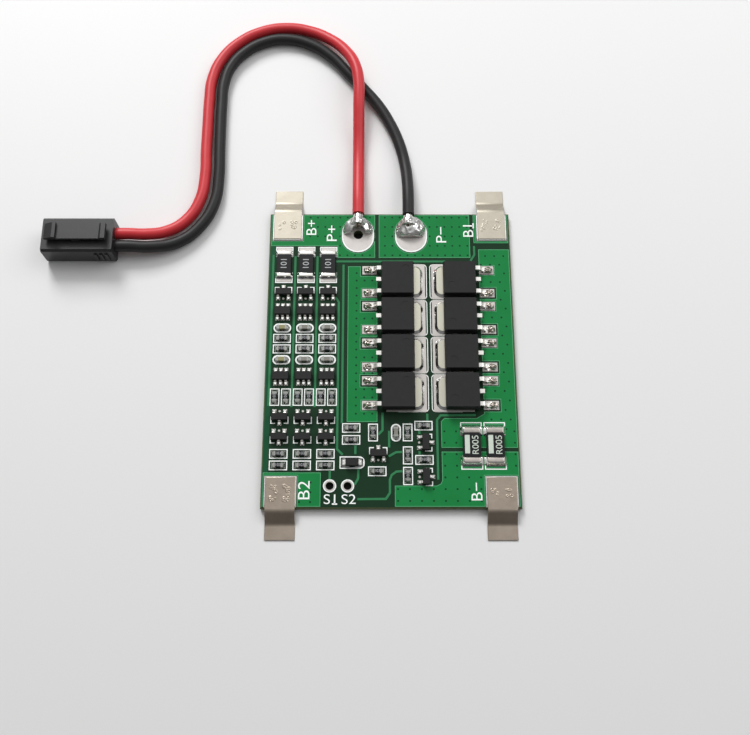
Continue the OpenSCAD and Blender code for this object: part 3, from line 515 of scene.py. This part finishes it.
# %% [markdown]
# ## The white print
#
# The frames round the parts are epoxy ink, screened on last. A curve could draw them, but a
# frame is quickest as a rectangle whose face is inset by the line's width, with the inner
# face deleted. Brackets are such frames with a stretch rubbed out: the face is cut along
# the stretch's edges, and what lies between the cuts goes.

# %% Placing small shapes
def add_to(target, shape, place):
    """Moves a small bmesh to its place and adds it to a larger one."""
    bmesh.ops.transform(shape, matrix=place, verts=shape.verts)
    mesh = mesh_of("part", shape)
    target.from_mesh(mesh)
    bpy.data.meshes.remove(mesh)


def at(x, y, degrees=0.0, z=board_top):
    """A place on the board, turned about the vertical."""
    return Matrix.Translation((x, y, z)) @ Matrix.Rotation(math.radians(degrees), 4, "Z")


print("height of the board's top, mm:", round(board_top / MM, 2))


# %% A rectangle with rounded corners
CORNER_STEPS = 6


def every_corner(x):
    """Chooses all four corners of a rectangle."""
    return True


def right_corners(x):
    """Chooses the two corners on the right."""
    return x > 0


def rectangle(length, width, corner=0.0, corners=every_corner, segments=CORNER_STEPS):
    """A flat rectangle round the origin, whose chosen corners are rounded."""
    shape = bmesh.new()
    bmesh.ops.create_grid(shape, x_segments=1, y_segments=1, size=0.5)
    bmesh.ops.scale(shape, vec=(length, width, 1), verts=shape.verts)
    if corner:
        chosen = [v for v in shape.verts if corners(v.co.x)]
        bmesh.ops.bevel(shape, geom=chosen, offset=corner, segments=segments, profile=0.5,
                        affect="VERTICES", material=-1, clamp_overlap=True)
    return shape


print("steps in a rounded corner:", CORNER_STEPS)

# %% One printed frame
PRINT_W = 0.26 * MM
PRINT_T = 0.025 * MM
# The print stands this high over the bare laminate, so that it also clears the copper.
print_rise = copper_top + PRINT_T - board_top
# Epoxy ink, screened on: white and matt.
ink = finish("white_ink", ("#FFFFFF", "#F2FAF5"), 0.8, 0.5, bump=0.003)
prints = bmesh.new()


def print_frame(length, width, place, corner=0.0, corners=every_corner, rubbed=(), line=PRINT_W):
    """Adds a printed rectangle; rubbed holds (x0, y0, x1, y1) boxes that stay without ink."""
    shape = rectangle(length, width, corner, corners)
    inner = shape.faces[:]
    bmesh.ops.inset_individual(shape, faces=inner, thickness=line)
    bmesh.ops.delete(shape, geom=inner, context="FACES")
    for x0, y0, x1, y1 in rubbed:
        for point, direction in (((x0, 0, 0), (1, 0, 0)), ((x1, 0, 0), (1, 0, 0)),
                                 ((0, y0, 0), (0, 1, 0)), ((0, y1, 0), (0, 1, 0))):
            geometry = shape.verts[:] + shape.edges[:] + shape.faces[:]
            bmesh.ops.bisect_plane(shape, geom=geometry, plane_co=point, plane_no=direction)
        gone = [f for f in shape.faces if x0 < f.calc_center_median().x < x1
                and y0 < f.calc_center_median().y < y1]
        bmesh.ops.delete(shape, geom=gone, context="FACES")
    raised = bmesh.ops.extrude_face_region(shape, geom=shape.faces[:])
    top = [v for v in raised["geom"] if isinstance(v, bmesh.types.BMVert)]
    bmesh.ops.translate(shape, vec=(0, 0, print_rise), verts=top)
    bmesh.ops.recalc_face_normals(shape, faces=shape.faces)
    add_to(prints, shape, place)


print("the print rises, mm:", round(print_rise / MM, 3))

# %% [markdown]
# ## Frames round the parts
#
# A resistor has a frame with square corners, a capacitor one with round corners, and the
# diode one that is round at one end, which shows its direction. The largest ones are broken
# along their sides. The small transistors only have two corners, by their single pin.

# %% Frames of the chips
def turned(box):
    """The turn that lays the x axis along a box's longer side."""
    size = box[1] - box[0]
    return 90 if size.y > size.x else 0


for box in solids_of("chip_resistor_bodies"):
    print_frame(3.2 * MM, 1.72 * MM, at(*middle(box).xy, turned(box)))
for box in solids_of("chip_capacitor_bodies"):
    print_frame(3.2 * MM, 1.76 * MM, at(*middle(box).xy, turned(box)), corner=0.85 * MM)
for box in solids_of("diode_body"):
    print_frame(4.35 * MM, 2.2 * MM, at(*middle(box).xy), corner=0.9 * MM, corners=right_corners)
for box in solids_of("balance_resistor_bodies"):
    print_frame(7.3 * MM, 3.2 * MM, at(*middle(box).xy, 90),
                rubbed=[(-1.6 * MM, -2 * MM, 1.6 * MM, 2 * MM)])
for box in solids_of("shunt_bodies"):
    print_frame(8.5 * MM, 3.8 * MM, at(*middle(box).xy, 90),
                rubbed=[(-2.2 * MM, -3 * MM, 2.2 * MM, 3 * MM)])
print("printed faces so far:", len(prints.faces))

# %% Corners of the small transistors
CORNER_X = 1.6 * MM
CORNER_Y = 1.15 * MM
CORNER_LEG = 1.3 * MM
CORNER_GAP = 1.5 * MM
CORNER_DEPTH = 4 * MM
PIN_REACH = 2.2 * MM
pins = solids_of("signal_transistor_pins")


def single_pin_turn(box):
    """The turn that points the y axis to the side of a small transistor's single pin."""
    centre = middle(box)
    near = [middle(p) - centre for p in pins if (middle(p) - centre).length < PIN_REACH]
    lone = sum(near, Vector()) * -1
    return round(math.degrees(math.atan2(-lone.x, lone.y)) / 90) * 90


below_corners = (-2 * CORNER_X, -CORNER_DEPTH, 2 * CORNER_X, CORNER_DEPTH / 2 - CORNER_LEG)
between_corners = (-CORNER_GAP / 2, -CORNER_DEPTH, CORNER_GAP / 2, CORNER_DEPTH)
for box in solids_of("signal_transistor_bodies"):
    place = at(*middle(box).xy, single_pin_turn(box))
    lowered = Matrix.Translation((0, CORNER_Y - CORNER_DEPTH / 2, 0))
    print_frame(2 * CORNER_X, CORNER_DEPTH, place @ lowered,
                rubbed=[below_corners, between_corners])
print("printed faces so far:", len(prints.faces))

# %% [markdown]
# ## Lines along the power transistors
#
# Each power transistor stands in a printed outline that is rounded towards the middle, where
# its metal tab is soldered down. The outlines are finer than the other print.

# %% Outlines of the power transistors
FINE = 0.14 * MM
MIDDLE_GAP = 0.5 * MM
bodies = [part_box(f"transistor_body_{i}") for i in range(1, 9)]
centre_x = (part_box("transistor_frame_1")[0].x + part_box("transistor_frame_5")[1].x) / 2
for body in bodies:
    left = middle(body).x < centre_x
    depth = abs(centre_x - middle(body).x) - MIDDLE_GAP / 2
    place = at(*middle(body).xy, 0 if left else 180) @ Matrix.Translation((depth / 2, 0, 0))
    print_frame(depth, 7 * MM, place, corner=0.7 * MM, corners=right_corners, line=FINE,
                rubbed=[(-depth, -3.3 * MM, 0, 3.3 * MM)])
print("outlined transistors:", len(bodies))

# %% [markdown]
# ## Rings
#
# Rings are printed round the two switch holes and on the long pads of the leads. A rectangle
# whose corners are rounded by half its width is a ring, so the same function draws them. The
# rounding stops just short of the half, because corners that met would leave no edge between.

# %% Rings round the switch holes and on the lead pads
RING_GAP = 0.2 * MM
LEAD_RING_W = 0.24 * MM
NEARLY = 0.999
for box in solids_of("switch_rings"):
    radius = (box[1].x - box[0].x) / 2 + RING_GAP
    print_frame(2 * radius, 2 * radius, at(*middle(box).xy), corner=radius * NEARLY)
for box in solids_of("lead_pads"):
    size = box[1] - box[0]
    ring_place = at(*middle(box).xy, 90) @ Matrix.Translation((0, 0, seat - copper_top))
    print_frame(size.y, size.x, ring_place, corner=size.x / 2 * NEARLY, line=LEAD_RING_W)
print("printed faces so far:", len(prints.faces))

# %% [markdown]
# ## Letters
#
# The letters name the terminals: B for the battery, P for the output, S for the switch. A
# text object becomes a mesh before it gets its place. Its 1 is a bare stem, and the printed one
# stands on a foot, so a small bar is laid across the end of the stem.

# %% Letters as a mesh
# A capital's height, as a share of the size that a text object is given.
CAPITAL_SHARE = 0.72


def add_letters(target, words, height, place, thickness, spread=1, weight=0):
    """Adds letters of that capital height at a place, and returns where their right edge is."""
    curve = bpy.data.curves.new("letters", "FONT")
    curve.body = words
    curve.align_x = "CENTER"
    curve.align_y = "CENTER"
    curve.size = height / CAPITAL_SHARE
    curve.offset = weight * height
    curve.extrude = thickness / 2
    holder = bpy.data.objects.new("letters", curve)
    mesh = bpy.data.meshes.new_from_object(holder)
    bpy.data.objects.remove(holder)
    raised = Matrix.Translation((0, 0, thickness / 2))
    right_edge = spread * max(vert.co.x for vert in mesh.vertices)
    mesh.transform(place @ raised @ Matrix.Diagonal((spread, 1, 1, 1)))
    target.from_mesh(mesh)
    bpy.data.meshes.remove(mesh)
    return right_edge


print("a font size of 1 gives capitals of", CAPITAL_SHARE)

# %% Terminal names
FOOT_W = 0.26 * MM
FOOT_SHARE = 0.52
NAMES = [
    # the letters, their middle, the turn, the height of a capital and the spread along them
    ("B+", -14.6, 25.1, 90, 2, 1.1), ("P+", -10.75, 23.9, 90, 2, 1.2),
    ("P−", 9.75, 23.6, 90, 2, 1.2), ("B1", 14.85, 24.6, 90, 2, 1.1),
    ("B2", -14.9, -24.9, 90, 2.1, 1.15), ("B−", 14.85, -25.1, 90, 2, 1.1),
    ("S1", -10.35, -26.5, 0, 1.75, 1.15), ("S2", -7.3, -26.5, 0, 1.75, 1.15),
]
for words, x, y, degrees, height, spread in NAMES:
    capital = height * MM
    place = at(x * MM, y * MM, degrees)
    right_edge = add_letters(prints, words, capital, place, print_rise, spread, weight=-0.005)
    if words.endswith("1"):
        foot = bmesh.new()
        bmesh.ops.create_cube(foot, size=1)
        bmesh.ops.scale(foot, vec=(FOOT_SHARE * capital, FOOT_W, print_rise), verts=foot.verts)
        under_stem = (right_edge - FOOT_W / 2, (FOOT_W - capital) / 2, print_rise / 2)
        add_to(prints, foot, place @ Matrix.Translation(under_stem))
add_piece("white_print", prints, ink)

# %% [markdown]
# ## Codes on the resistors
#
# A resistor's value is printed on its glass: 101 is ten and one zero, so a hundred ohms, 103
# is ten and three zeros, and R005 is five thousandths of an ohm. The shunts also carry a
# white bar.

# %% Value codes
# The print on small resistors: thin, so a pale grey.
pale_ink = finish("pale_ink", ("#B9BBBD", "#A9ABAD"), 0.6, 0.5, bump=0.002)
codes = bmesh.new()
for box in solids_of("balance_resistor_bodies"):
    add_letters(codes, "101", 1.15 * MM, at(*middle(box).xy, 90, box[1].z), PRINT_T)
for box in solids_of("chip_resistor_bodies"):
    add_letters(codes, "103", 0.5 * MM, at(*middle(box).xy, turned(box), box[1].z), PRINT_T)
add_piece("value_codes", codes, pale_ink)

# %% Codes and bars on the shunts
BAR_L = 3.3 * MM
BAR_W = 0.85 * MM
# The print on the shunts: thicker, and white with a green tint.
bold_ink = finish("bold_pale_ink", ("#D2DCD0", "#BCC8BA"), 0.6, 0.5, bump=0.002)
shunt_codes = bmesh.new()
for box in solids_of("shunt_bodies"):
    x, y = middle(box).xy
    top = box[1].z
    add_letters(shunt_codes, "R005", 1.15 * MM, at(x + 0.65 * MM, y, 90, top), PRINT_T, 1.05)
    bar = bmesh.new()
    bmesh.ops.create_cube(bar, size=1)
    bmesh.ops.scale(bar, vec=(BAR_W, BAR_L, PRINT_T), verts=bar.verts)
    add_to(shunt_codes, bar, at(x - 0.8 * MM, y + 0.1 * MM, 0, top + PRINT_T / 2))
add_piece("shunt_codes", shunt_codes, bold_ink)

# %% [markdown]
# ## Soldered joints
#
# Melted solder climbs up a metal end and runs out over its pad, so its side is a hollow slope.
# A remeshed blob would do, but there are hundreds. So each is a rectangle whose face is inset
# and raised twice, first a little and then steeply. Narrow pins get half a ball instead.
#
# The joints are three pieces, because their solder froze in three ways: thin and grey at the
# smallest chips, bright at most of the others, and brown with flux over the feet of the power
# transistors, where it is also painted darker as painted shade.

# %% An apron of solder
# Each step of a slope is a share of its way in and a share of its height.
HOLLOW = ((0.5, 0.4), (0.49, 0.6))
STRAIGHT = ((0.98, 1),)


def apron(target, place, length, width, spread, height, corner=0.0, corners=every_corner,
          steps=HOLLOW):
    """Adds solder round a metal end of that length and width."""
    shape = rectangle(length + 2 * spread, width + 2 * spread, corner + spread, corners, segments=5)
    top = shape.faces[:]
    for inward, upward in steps:
        bmesh.ops.inset_individual(shape, faces=top, thickness=inward * spread, depth=upward * height)
    add_to(target, shape, place)


print("steps in a hollow slope:", len(HOLLOW))


# %% A drop of solder
def cut_level(shape, height, keep_above):
    """Cuts a shape level at a height and keeps what is above the cut or below it."""
    geometry = shape.verts[:] + shape.edges[:] + shape.faces[:]
    bmesh.ops.bisect_plane(shape, geom=geometry, plane_co=(0, 0, height), plane_no=(0, 0, 1),
                           clear_inner=keep_above, clear_outer=not keep_above)


def drop(target, place, length, width, height, top=0.5, lumps=0.0):
    """Adds half a ball of solder, drawn out to that length and width and level at its top."""
    shape = bmesh.new()
    around = 24 if lumps else 12
    bmesh.ops.create_uvsphere(shape, u_segments=around, v_segments=around * 2 // 3, radius=0.5)
    for vert in shape.verts:
        vert.co *= 1 + lumps * noise.noise(vert.co * 5 + place.translation / MM)
    cut_level(shape, 0, keep_above=True)
    cut_level(shape, top, keep_above=False)
    bmesh.ops.holes_fill(shape, edges=[e for e in shape.edges if e.is_boundary])
    bmesh.ops.scale(shape, vec=(length, width, height / top), verts=shape.verts)
    add_to(target, shape, place)


# %% The way that a pin points
def outward(box, hosts):
    """The turn of the x axis that points from the nearest host out along a pin or an end."""
    centre = middle(box)
    host = min(hosts, key=lambda other: (middle(other) - centre).length)
    away = centre - middle(host)
    size = host[1] - host[0]
    along_x = abs(away.x) / size.x > abs(away.y) / size.y
    if along_x:
        return 0 if away.x > 0 else 180
    return 90 if away.y > 0 else -90


def facing_out(ends, hosts):
    """Each solid of a node of ends or pins, with its place on the pads, turned outwards."""
    host_boxes = solids_of(hosts)
    return [(box, at(*middle(box).xy, outward(box, host_boxes), seat)) for box in solids_of(ends)]


diode = solids_of("diode_body")
print("the diode's leads point to", [outward(box, diode) for box in solids_of("diode_leads")])

# %% Solder at the small chips
OUTWARD_SHIFT = Matrix.Translation((0.15 * MM, 0, 0))
CLIMB_SHARE = 0.7
chip_joints = bmesh.new()
for ends, hosts in (("chip_resistor_ends", "chip_resistor_bodies"),
                    ("chip_capacitor_ends", "chip_capacitor_bodies")):
    for box, place in facing_out(ends, hosts):
        apron(chip_joints, place @ OUTWARD_SHIFT, length=0.34 * MM, width=0.54 * MM,
              spread=0.23 * MM, height=CLIMB_SHARE * (box[1].z - seat))
add_piece("chip_joints", chip_joints, thin_solder)

# %% Solder at the pins
joints = bmesh.new()
for ends, hosts in (("signal_transistor_pins", "signal_transistor_bodies"),
                    ("monitor_pins", "monitor_bodies")):
    for _, place in facing_out(ends, hosts):
        drop(joints, place @ OUTWARD_SHIFT, length=0.8 * MM, width=0.66 * MM, height=0.28 * MM,
             top=0.35)
print("faces of solder so far:", len(joints.faces))

# %% Solder at the large chips
for ends, spread, climb in (("balance_resistor_ends", 0.36 * MM, 0.42 * MM),
                            ("shunt_ends", 0.42 * MM, 0.5 * MM),
                            ("diode_leads", 0.3 * MM, 0.25 * MM)):
    for box in solids_of(ends):
        size = box[1] - box[0]
        apron(joints, at(*middle(box).xy, 0, seat), size.x, size.y, spread, climb)
print("faces of solder so far:", len(joints.faces))

# %% Solder at the power transistors
TAB_CORNER = 1 * MM
# A tab is wider than this and a lead narrower, and a lead's foot is centred so far in.
WIDEST_LEAD = 2 * MM
FOOT_IN = 0.7 * MM
feet = []
for i in range(1, 9):
    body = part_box(f"transistor_body_{i}")
    for box in solids_of(f"transistor_frame_{i}"):
        size = box[1] - box[0]
        points_right = middle(box).x > middle(body).x
        turn_out = 0 if points_right else 180
        end_x = box[1].x if points_right else box[0].x
        if size.y > WIDEST_LEAD:
            tab_start = body[1].x if points_right else body[0].x
            reach = abs(end_x - tab_start)
            place = at((end_x + tab_start) / 2, middle(box).y, turn_out, seat)
            apron(joints, place @ Matrix.Translation((-reach / 2, 0, 0)), 2 * reach, size.y,
                  spread=0.46 * MM, height=0.4 * MM, corner=TAB_CORNER, corners=right_corners,
                  steps=STRAIGHT)
        else:
            foot_x = end_x - FOOT_IN if points_right else end_x + FOOT_IN
            place = at(foot_x, middle(box).y, turn_out, seat)
            apron(joints, place, 1.3 * MM, size.y, spread=0.26 * MM, height=0.36 * MM)
            feet.append(place)
add_piece("soldered_joints", joints, solder)

# %% Browned solder over the feet, with painted shade
foot_joints = bmesh.new()
for place in feet:
    drop(foot_joints, place @ OUTWARD_SHIFT, length=1.8 * MM, width=1.2 * MM, height=0.72 * MM,
         lumps=0.3)
add_piece("foot_joints", foot_joints, foot_solder_and_shade)

# %% [markdown]
# ## Nickel strips
#
# The strips are slit from rolled nickel, so their long edges are rounded and catch the light.
# Each is a copy of the CAD strip with its triangles joined into flat faces and its edges
# bevelled, and the ends of the largest resistors are made the same way. A Bevel modifier
# would need those joined faces too, so the operator does both at once. Spot welding leaves
# two rough marks on a strip, where the electrodes stood.

# %% Strips with rounded edges
# Faces wider than this stay flat, so that the narrow rounding can't tilt their shading.
WIDE_FACE = 2 * MM * MM
STRIP_EDGE_R = 0.09 * MM


def rounded_copy(name, node, material, radius, segments, steeper_than=50):
    """Adds a copy of a CAD node whose sharp edges are rounded and whose wide faces stay flat."""
    shape = merged(node)
    bmesh.ops.dissolve_limit(shape, angle_limit=math.radians(2), verts=shape.verts,
                             edges=shape.edges)
    sharp = [e for e in shape.edges if len(e.link_faces) == 2
             and e.calc_face_angle() > math.radians(steeper_than)]
    bmesh.ops.bevel(shape, geom=sharp, offset=radius, segments=segments, profile=0.5,
                    affect="EDGES", material=-1, clamp_overlap=True)
    piece = add_piece(name, shape, material, [node], smooth_below=35)
    for face in piece.data.polygons:
        face.use_smooth = face.area < WIDE_FACE


for node in ("b_plus_strip", "b1_strip"):
    rounded_copy("nickel_" + node, node, nickel, STRIP_EDGE_R, 3)
# The front strips get the nickel with painted shade and a painted brown reflection.
for node in ("b2_strip", "b_minus_strip"):
    rounded_copy("nickel_" + node, node, nickel_in_painted_shade, STRIP_EDGE_R, 3)
rounded_copy("shunt_terminals", "shunt_ends", shunt_alloy, 0.26 * MM, 4)
rounded_copy("balance_terminals", "balance_resistor_ends", stamped_tin, 0.1 * MM, 2)

# %% A mark of the spot welder
MARK_W = 2.1 * MM
PIT_R = 0.2 * MM
PIT_RIM_W = 0.05 * MM
PIT_RIM_H = 0.045 * MM
chance = random.Random(4)


def weld_mark(target, centre_x, centre_y, z, length, pits):
    """Adds a rough patch of that length: small pits with raised rims, thrown at random."""
    patch = bmesh.new()
    bmesh.ops.create_grid(patch, x_segments=36, y_segments=48, size=0.5)
    bmesh.ops.scale(patch, vec=(MARK_W, length, 1), verts=patch.verts)
    thrown = [(chance.uniform(-0.28, 0.28) * MARK_W, chance.uniform(-0.36, 0.36) * length,
               chance.uniform(0.4, 1.3) * PIT_R) for _ in range(pits)]
    for vert in patch.verts:
        edge = 1 - max(abs(vert.co.x) / MARK_W, abs(vert.co.y) / length) * 2
        rim = 0
        for x, y, radius in thrown:
            away = math.hypot(vert.co.x - x, vert.co.y - y)
            rim = max(rim, math.exp(-((away - radius) / PIT_RIM_W) ** 2))
        vert.co.z = min(1, 5 * edge) * rim * PIT_RIM_H
    add_to(target, patch, at(centre_x, centre_y, chance.uniform(-8, 8), z))


print("radius of a pit, mm:", round(PIT_R / MM, 2))

# %% Two marks on each strip
# The length of a strip's marks and the number of pits in each.
WELDS = {
    "b_plus_strip": (2.4 * MM, 6),
    "b1_strip": (3 * MM, 11),
    "b2_strip": (3.6 * MM, 15),
    "b_minus_strip": (2 * MM, 6),
}
# How far the two marks are apart, and how far they lie from the strip's inner end.
MARKS_APART = 2.4 * MM
MARK_IN = 2.8 * MM
MARK_LIFT = 0.002 * MM
for node, (length, pits) in WELDS.items():
    low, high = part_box(node)
    strip_x = (low.x + high.x) / 2
    at_back = low.y > 0
    mark_y = low.y + MARK_IN if at_back else high.y - MARK_IN
    marks = bmesh.new()
    for side in (-1, 1):
        weld_mark(marks, strip_x + side * MARKS_APART / 2, mark_y, high.z + MARK_LIFT, length, pits)
    # The marks on the front strips get the same painted shade.
    add_piece("weld_marks_" + node, marks, nickel if at_back else nickel_in_painted_shade)

# %% [markdown]
# ## The solder of the leads
#
# Each lead is drowned in a mound of solder that froze while it was still being pulled up along
# the strands. The CAD mound gives the form. A remesh turns it into an even skin of small
# faces, noise lifts that skin into soft ridges, and smoothing rounds the rest.

# %% An even skin of small faces
SKIN_FACE = 0.09 * MM


def smooth(shape, times):
    """Draws every vertex halfway to its neighbours, that many times."""
    for _ in range(times):
        bmesh.ops.smooth_vert(shape, verts=shape.verts, factor=0.5, use_axis_x=True,
                              use_axis_y=True, use_axis_z=True)


def remeshed(node):
    """A bmesh of a CAD node with an even skin of small faces."""
    mesh = mesh_of("mound", merged(node))
    holder = add_object("mound", mesh)
    remesh = holder.modifiers.new("skin", "REMESH")
    remesh.mode = "VOXEL"
    remesh.voxel_size = SKIN_FACE
    bpy.context.view_layer.update()
    skin = bmesh.new()
    skin.from_object(holder, bpy.context.evaluated_depsgraph_get())
    bpy.data.objects.remove(holder)
    bpy.data.meshes.remove(mesh)
    return skin


print("width of the skin's faces, mm:", round(SKIN_FACE / MM, 2))

# %% Mounds of frozen solder
# The width and height of the skin's ripples and of its creases, and how high its foot is calm.
RIPPLE_W = 0.75 * MM
RIPPLE_H = 0.12 * MM
CREASE_W = 1.3 * MM
CREASE_H = 0.1 * MM
CALM_FOOT = 0.15 * MM


def mound(name, node, seed, lumps):
    """Adds the CAD mound with the uneven skin of frozen solder, as rough as lumps says."""
    skin = remeshed(node)
    smooth(skin, 6)
    skin.normal_update()
    for vert in skin.verts:
        if vert.co.z > seat + CALM_FOOT:
            ripple = noise.noise(vert.co / RIPPLE_W + Vector((seed, 0, 0)))
            crease = 1 - abs(noise.noise(vert.co / CREASE_W + Vector((0, seed, 0)))) * 3
            vert.co += vert.normal * (ripple * RIPPLE_H + max(0, crease) * CREASE_H) * lumps
    smooth(skin, 2)
    add_piece(name, skin, slow_solder, [node], smooth_below=80)


mound("red_lead_solder", "p_plus_solder", seed=3, lumps=0.5)
mound("black_lead_solder", "p_minus_solder", seed=8, lumps=1)

# %% [markdown]
# ## Strands
#
# Where the vinyl is stripped off, the lead shows its strands, six laid in a spiral round a
# seventh. A helix is a formula, so a loop places the points of each strand's curve.

# %% Twisted strands
STRAND_R = 0.21 * MM
TWIST = 9 * MM
STEPS = 15


def strands(name, node):
    """Adds seven thin wires twisted along the length of a CAD bundle."""
    low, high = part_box(node)
    axis_x = (low.x + high.x) / 2
    axis_z = (low.z + high.z) / 2
    lay_r = (high.x - low.x) / 2 - STRAND_R
    curve = bpy.data.curves.new(name, "CURVE")
    curve.dimensions = "3D"
    curve.bevel_depth = STRAND_R
    curve.bevel_resolution = 2
    curve.use_fill_caps = True
    for strand in range(7):
        spline = curve.splines.new("POLY")
        spline.points.add(STEPS)
        out = lay_r if strand < 6 else 0
        for step, point in enumerate(spline.points):
            along = (high.y - low.y) * step / STEPS
            angle = strand * math.pi / 3 + 2 * math.pi * along / TWIST
            point.co = (axis_x + out * math.cos(angle), low.y + along,
                        axis_z + out * math.sin(angle), 1)
    curve.materials.append(tinned_strand)
    piece = add_object(name, curve)
    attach(piece, "root")
    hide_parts(node)


strands("red_lead_strands", "p_plus_strands")
strands("black_lead_strands", "p_minus_strands")
print("a strand's full turn, mm:", round(TWIST / MM, 1))

# %% [markdown]
# ## Plated holes
#
# Wide copper areas on both faces are stitched together by rows of small plated holes, called
# vias, and the mask fills them to dark dots. They could be painted by a shader, but then they
# would run under the pads. A ray cast down at each place of a grid shows what is there, so a
# via is only made where the copper lies free.

# %% Where the copper lies free
def tree_of(names):
    """One search tree for several CAD nodes."""
    shape = bmesh.new()
    for name in names:
        shape.from_mesh(nodes[name].data)
    tree = BVHTree.FromBMesh(shape)
    shape.free()
    return tree


ABOVE_ALL = 20 * MM
DOWN = Vector((0, 0, -1))
copper_tree = tree_of(["copper_areas"])
parts_tree = tree_of([n for n in nodes if n not in ("circuit_board", "copper_areas")])


def lies_free(x, y, reach):
    """Whether the copper is bare of parts within that reach of a place."""
    for dx, dy in ((0, 0), (reach, 0), (-reach, 0), (0, reach), (0, -reach)):
        start = Vector((x + dx, y + dy, ABOVE_ALL))
        on_copper = copper_tree.ray_cast(start, DOWN)[0]
        if on_copper is None or parts_tree.ray_cast(start, DOWN)[0] is not None:
            return False
    return True


print("the middle of the board is free copper:", lies_free(0, 0, MM))

# %% Dark dots in rows
VIA_R = 0.19 * MM
VIA_T = 0.012 * MM
VIA_REACH = 0.22 * MM
VIA_FIELDS = [
    # x from, x to, y from, y to, x pitch and y pitch in millimetres; shift of every other row
    (-9.05, -2.6, -11.2, 17.9, 1.45, 1.5, 0),
    (16.9, 22, -14, 20.5, 1.7, 1.75, 0.5),
    (1.2, 22, -26.7, -12.4, 2.05, 2.05, 0),
    (-21.5, -10, -26.9, -22.2, 1.9, 1.7, 0),
    (-21.9, 14.5, 19.4, 27.4, 1.4, 1.95, 0),
]
# Mask that has filled a plated hole: a dark dot with hardly any shine.
via_hole = finish("via_in_mask", ("#0C4527", "#093A20"), 0.5, 0.5, bump=0.002,
                  Specular_IOR_Level=0.1)
vias = bmesh.new()
for x0, x1, y0, y1, step_x, step_y, shift in VIA_FIELDS:
    for row in range(int((y1 - y0) / step_y) + 1):
        for column in range(int((x1 - x0) / step_x) + 1):
            x = (x0 + (column + shift * (row % 2)) * step_x) * MM
            y = (y0 + row * step_y) * MM
            if lies_free(x, y, VIA_REACH):
                bmesh.ops.create_cone(vias, cap_ends=True, segments=8, radius1=VIA_R,
                                      radius2=VIA_R, depth=VIA_T, matrix=at(x, y, 0, copper_top))
add_piece("via_dots", vias, via_hole)

# %% [markdown]
# ## The floor
#
# The board lies on a plain pale floor that is painted a little darker towards the front, as
# painted shade. Under the board it is dark, as on a pack, and the holes show it. Both are flat
# sheets that don't ride on the board.

# %% Floor and dark sheet
def stage_sheet(name, length, width, z, material):
    """A flat sheet under the board, which doesn't ride on it."""
    mesh = mesh_of(name, rectangle(length, width))
    mesh.materials.append(material)
    piece = add_object(name, mesh)
    piece.location.z = z


FLOOR_BACK = 80 * MM
FLOOR_FRONT = -100 * MM
# Matt paint, so even that its grain doesn't show.
floor_paint = finish("pale_floor", ("#ECECEC", "#ECECEC"), 60, 0.6, bump=0.0)
# Painted shade: the floor is coloured darker towards the front, where the light falls off.
depth = add_node(floor_paint, "ShaderNodeSeparateXYZ",
                 inputs={"Vector": place_of(floor_paint)}).outputs["Y"]
painted_shade_to_front = add_node(floor_paint, "ShaderNodeMapRange",
                         inputs={"Value": depth, "From Min": FLOOR_BACK, "From Max": FLOOR_FRONT})
recolour(floor_paint, painted_shade_to_front.outputs["Result"], linear("#D8D8D8"))
# What shows through the holes: almost black.
dark_paint = finish("dark_sheet", ("#0A0A0B", "#080808"), 5, 0.7, bump=0.0)
stage_sheet("floor", 6, 6, -0.02 * MM, floor_paint)
stage_sheet("dark_sheet", 43 * MM, 54 * MM, -0.01 * MM, dark_paint)
print("materials in the scene:", len(bpy.data.materials))

# %% [markdown]
# ## The light
#
# The key lamp stands behind the board, a little to the left, and throws the shadows of the
# parts to the front. A weaker one, behind on the right, keeps those shadows open. The room is
# a gradient by direction: bright high up behind the board, where its metals mirror it, and
# dark round the walls, which gives the same metals their contrast.

# %% Two lamps
def lamp(name, place, size, watts):
    """A square area lamp that faces the board."""
    light = bpy.data.lights.new(name, "AREA")
    light.size = size
    light.energy = watts
    holder = add_object(name, light)
    holder.location = place
    holder.rotation_euler = (-Vector(place)).to_track_quat("-Z", "Y").to_euler()
    print(name, "lamp, metres away:", round(Vector(place).length, 2))


lamp("key", (-0.25, 0.62, 0.52), 0.3, 4.9)
lamp("fill", (0.5, 0.25, 0.5), 0.5, 1.5)

# %% The room
# The direction in which the room is brightest: 60 degrees up, behind the board.
BRIGHTEST = (0, 0.5, 0.866)
ROOM_LIGHT = 1.5
# How near a direction is to the brightest, from 0 to 1, and how bright the room is there.
DARKEST = (0.15, 0.05)
BETWEEN = ((0.35, 0.15), (0.5, 0.12), (0.75, 0.22), (0.92, 0.4), (0.965, 0.48))
world = bpy.data.worlds.new("room")
world.use_nodes = True
direction = add_node(world, "ShaderNodeTexCoord").outputs["Generated"]
likeness = add_node(world, "ShaderNodeVectorMath", {"operation": "DOT_PRODUCT"},
                    {0: direction, 1: BRIGHTEST})
nearness = add_node(world, "ShaderNodeMapRange",
                    inputs={"Value": likeness.outputs["Value"], "From Min": -0.5})
room = add_node(world, "ShaderNodeValToRGB", inputs={"Fac": nearness.outputs["Result"]})
stops = room.color_ramp.elements
stops[0].position = DARKEST[0]
stops[0].color = [DARKEST[1]] * 3 + [1]
for near, level in BETWEEN:
    stops.new(near).color = [level] * 3 + [1]
stops[-1].color = [1] * 4
background = world.node_tree.nodes["Background"]
background.inputs["Strength"].default_value = ROOM_LIGHT
world.node_tree.links.new(room.outputs["Color"], background.inputs["Color"])
bpy.context.scene.world = world
bpy.context.scene.view_settings.view_transform = "Standard"
print("levels of light in the room:", len(stops))
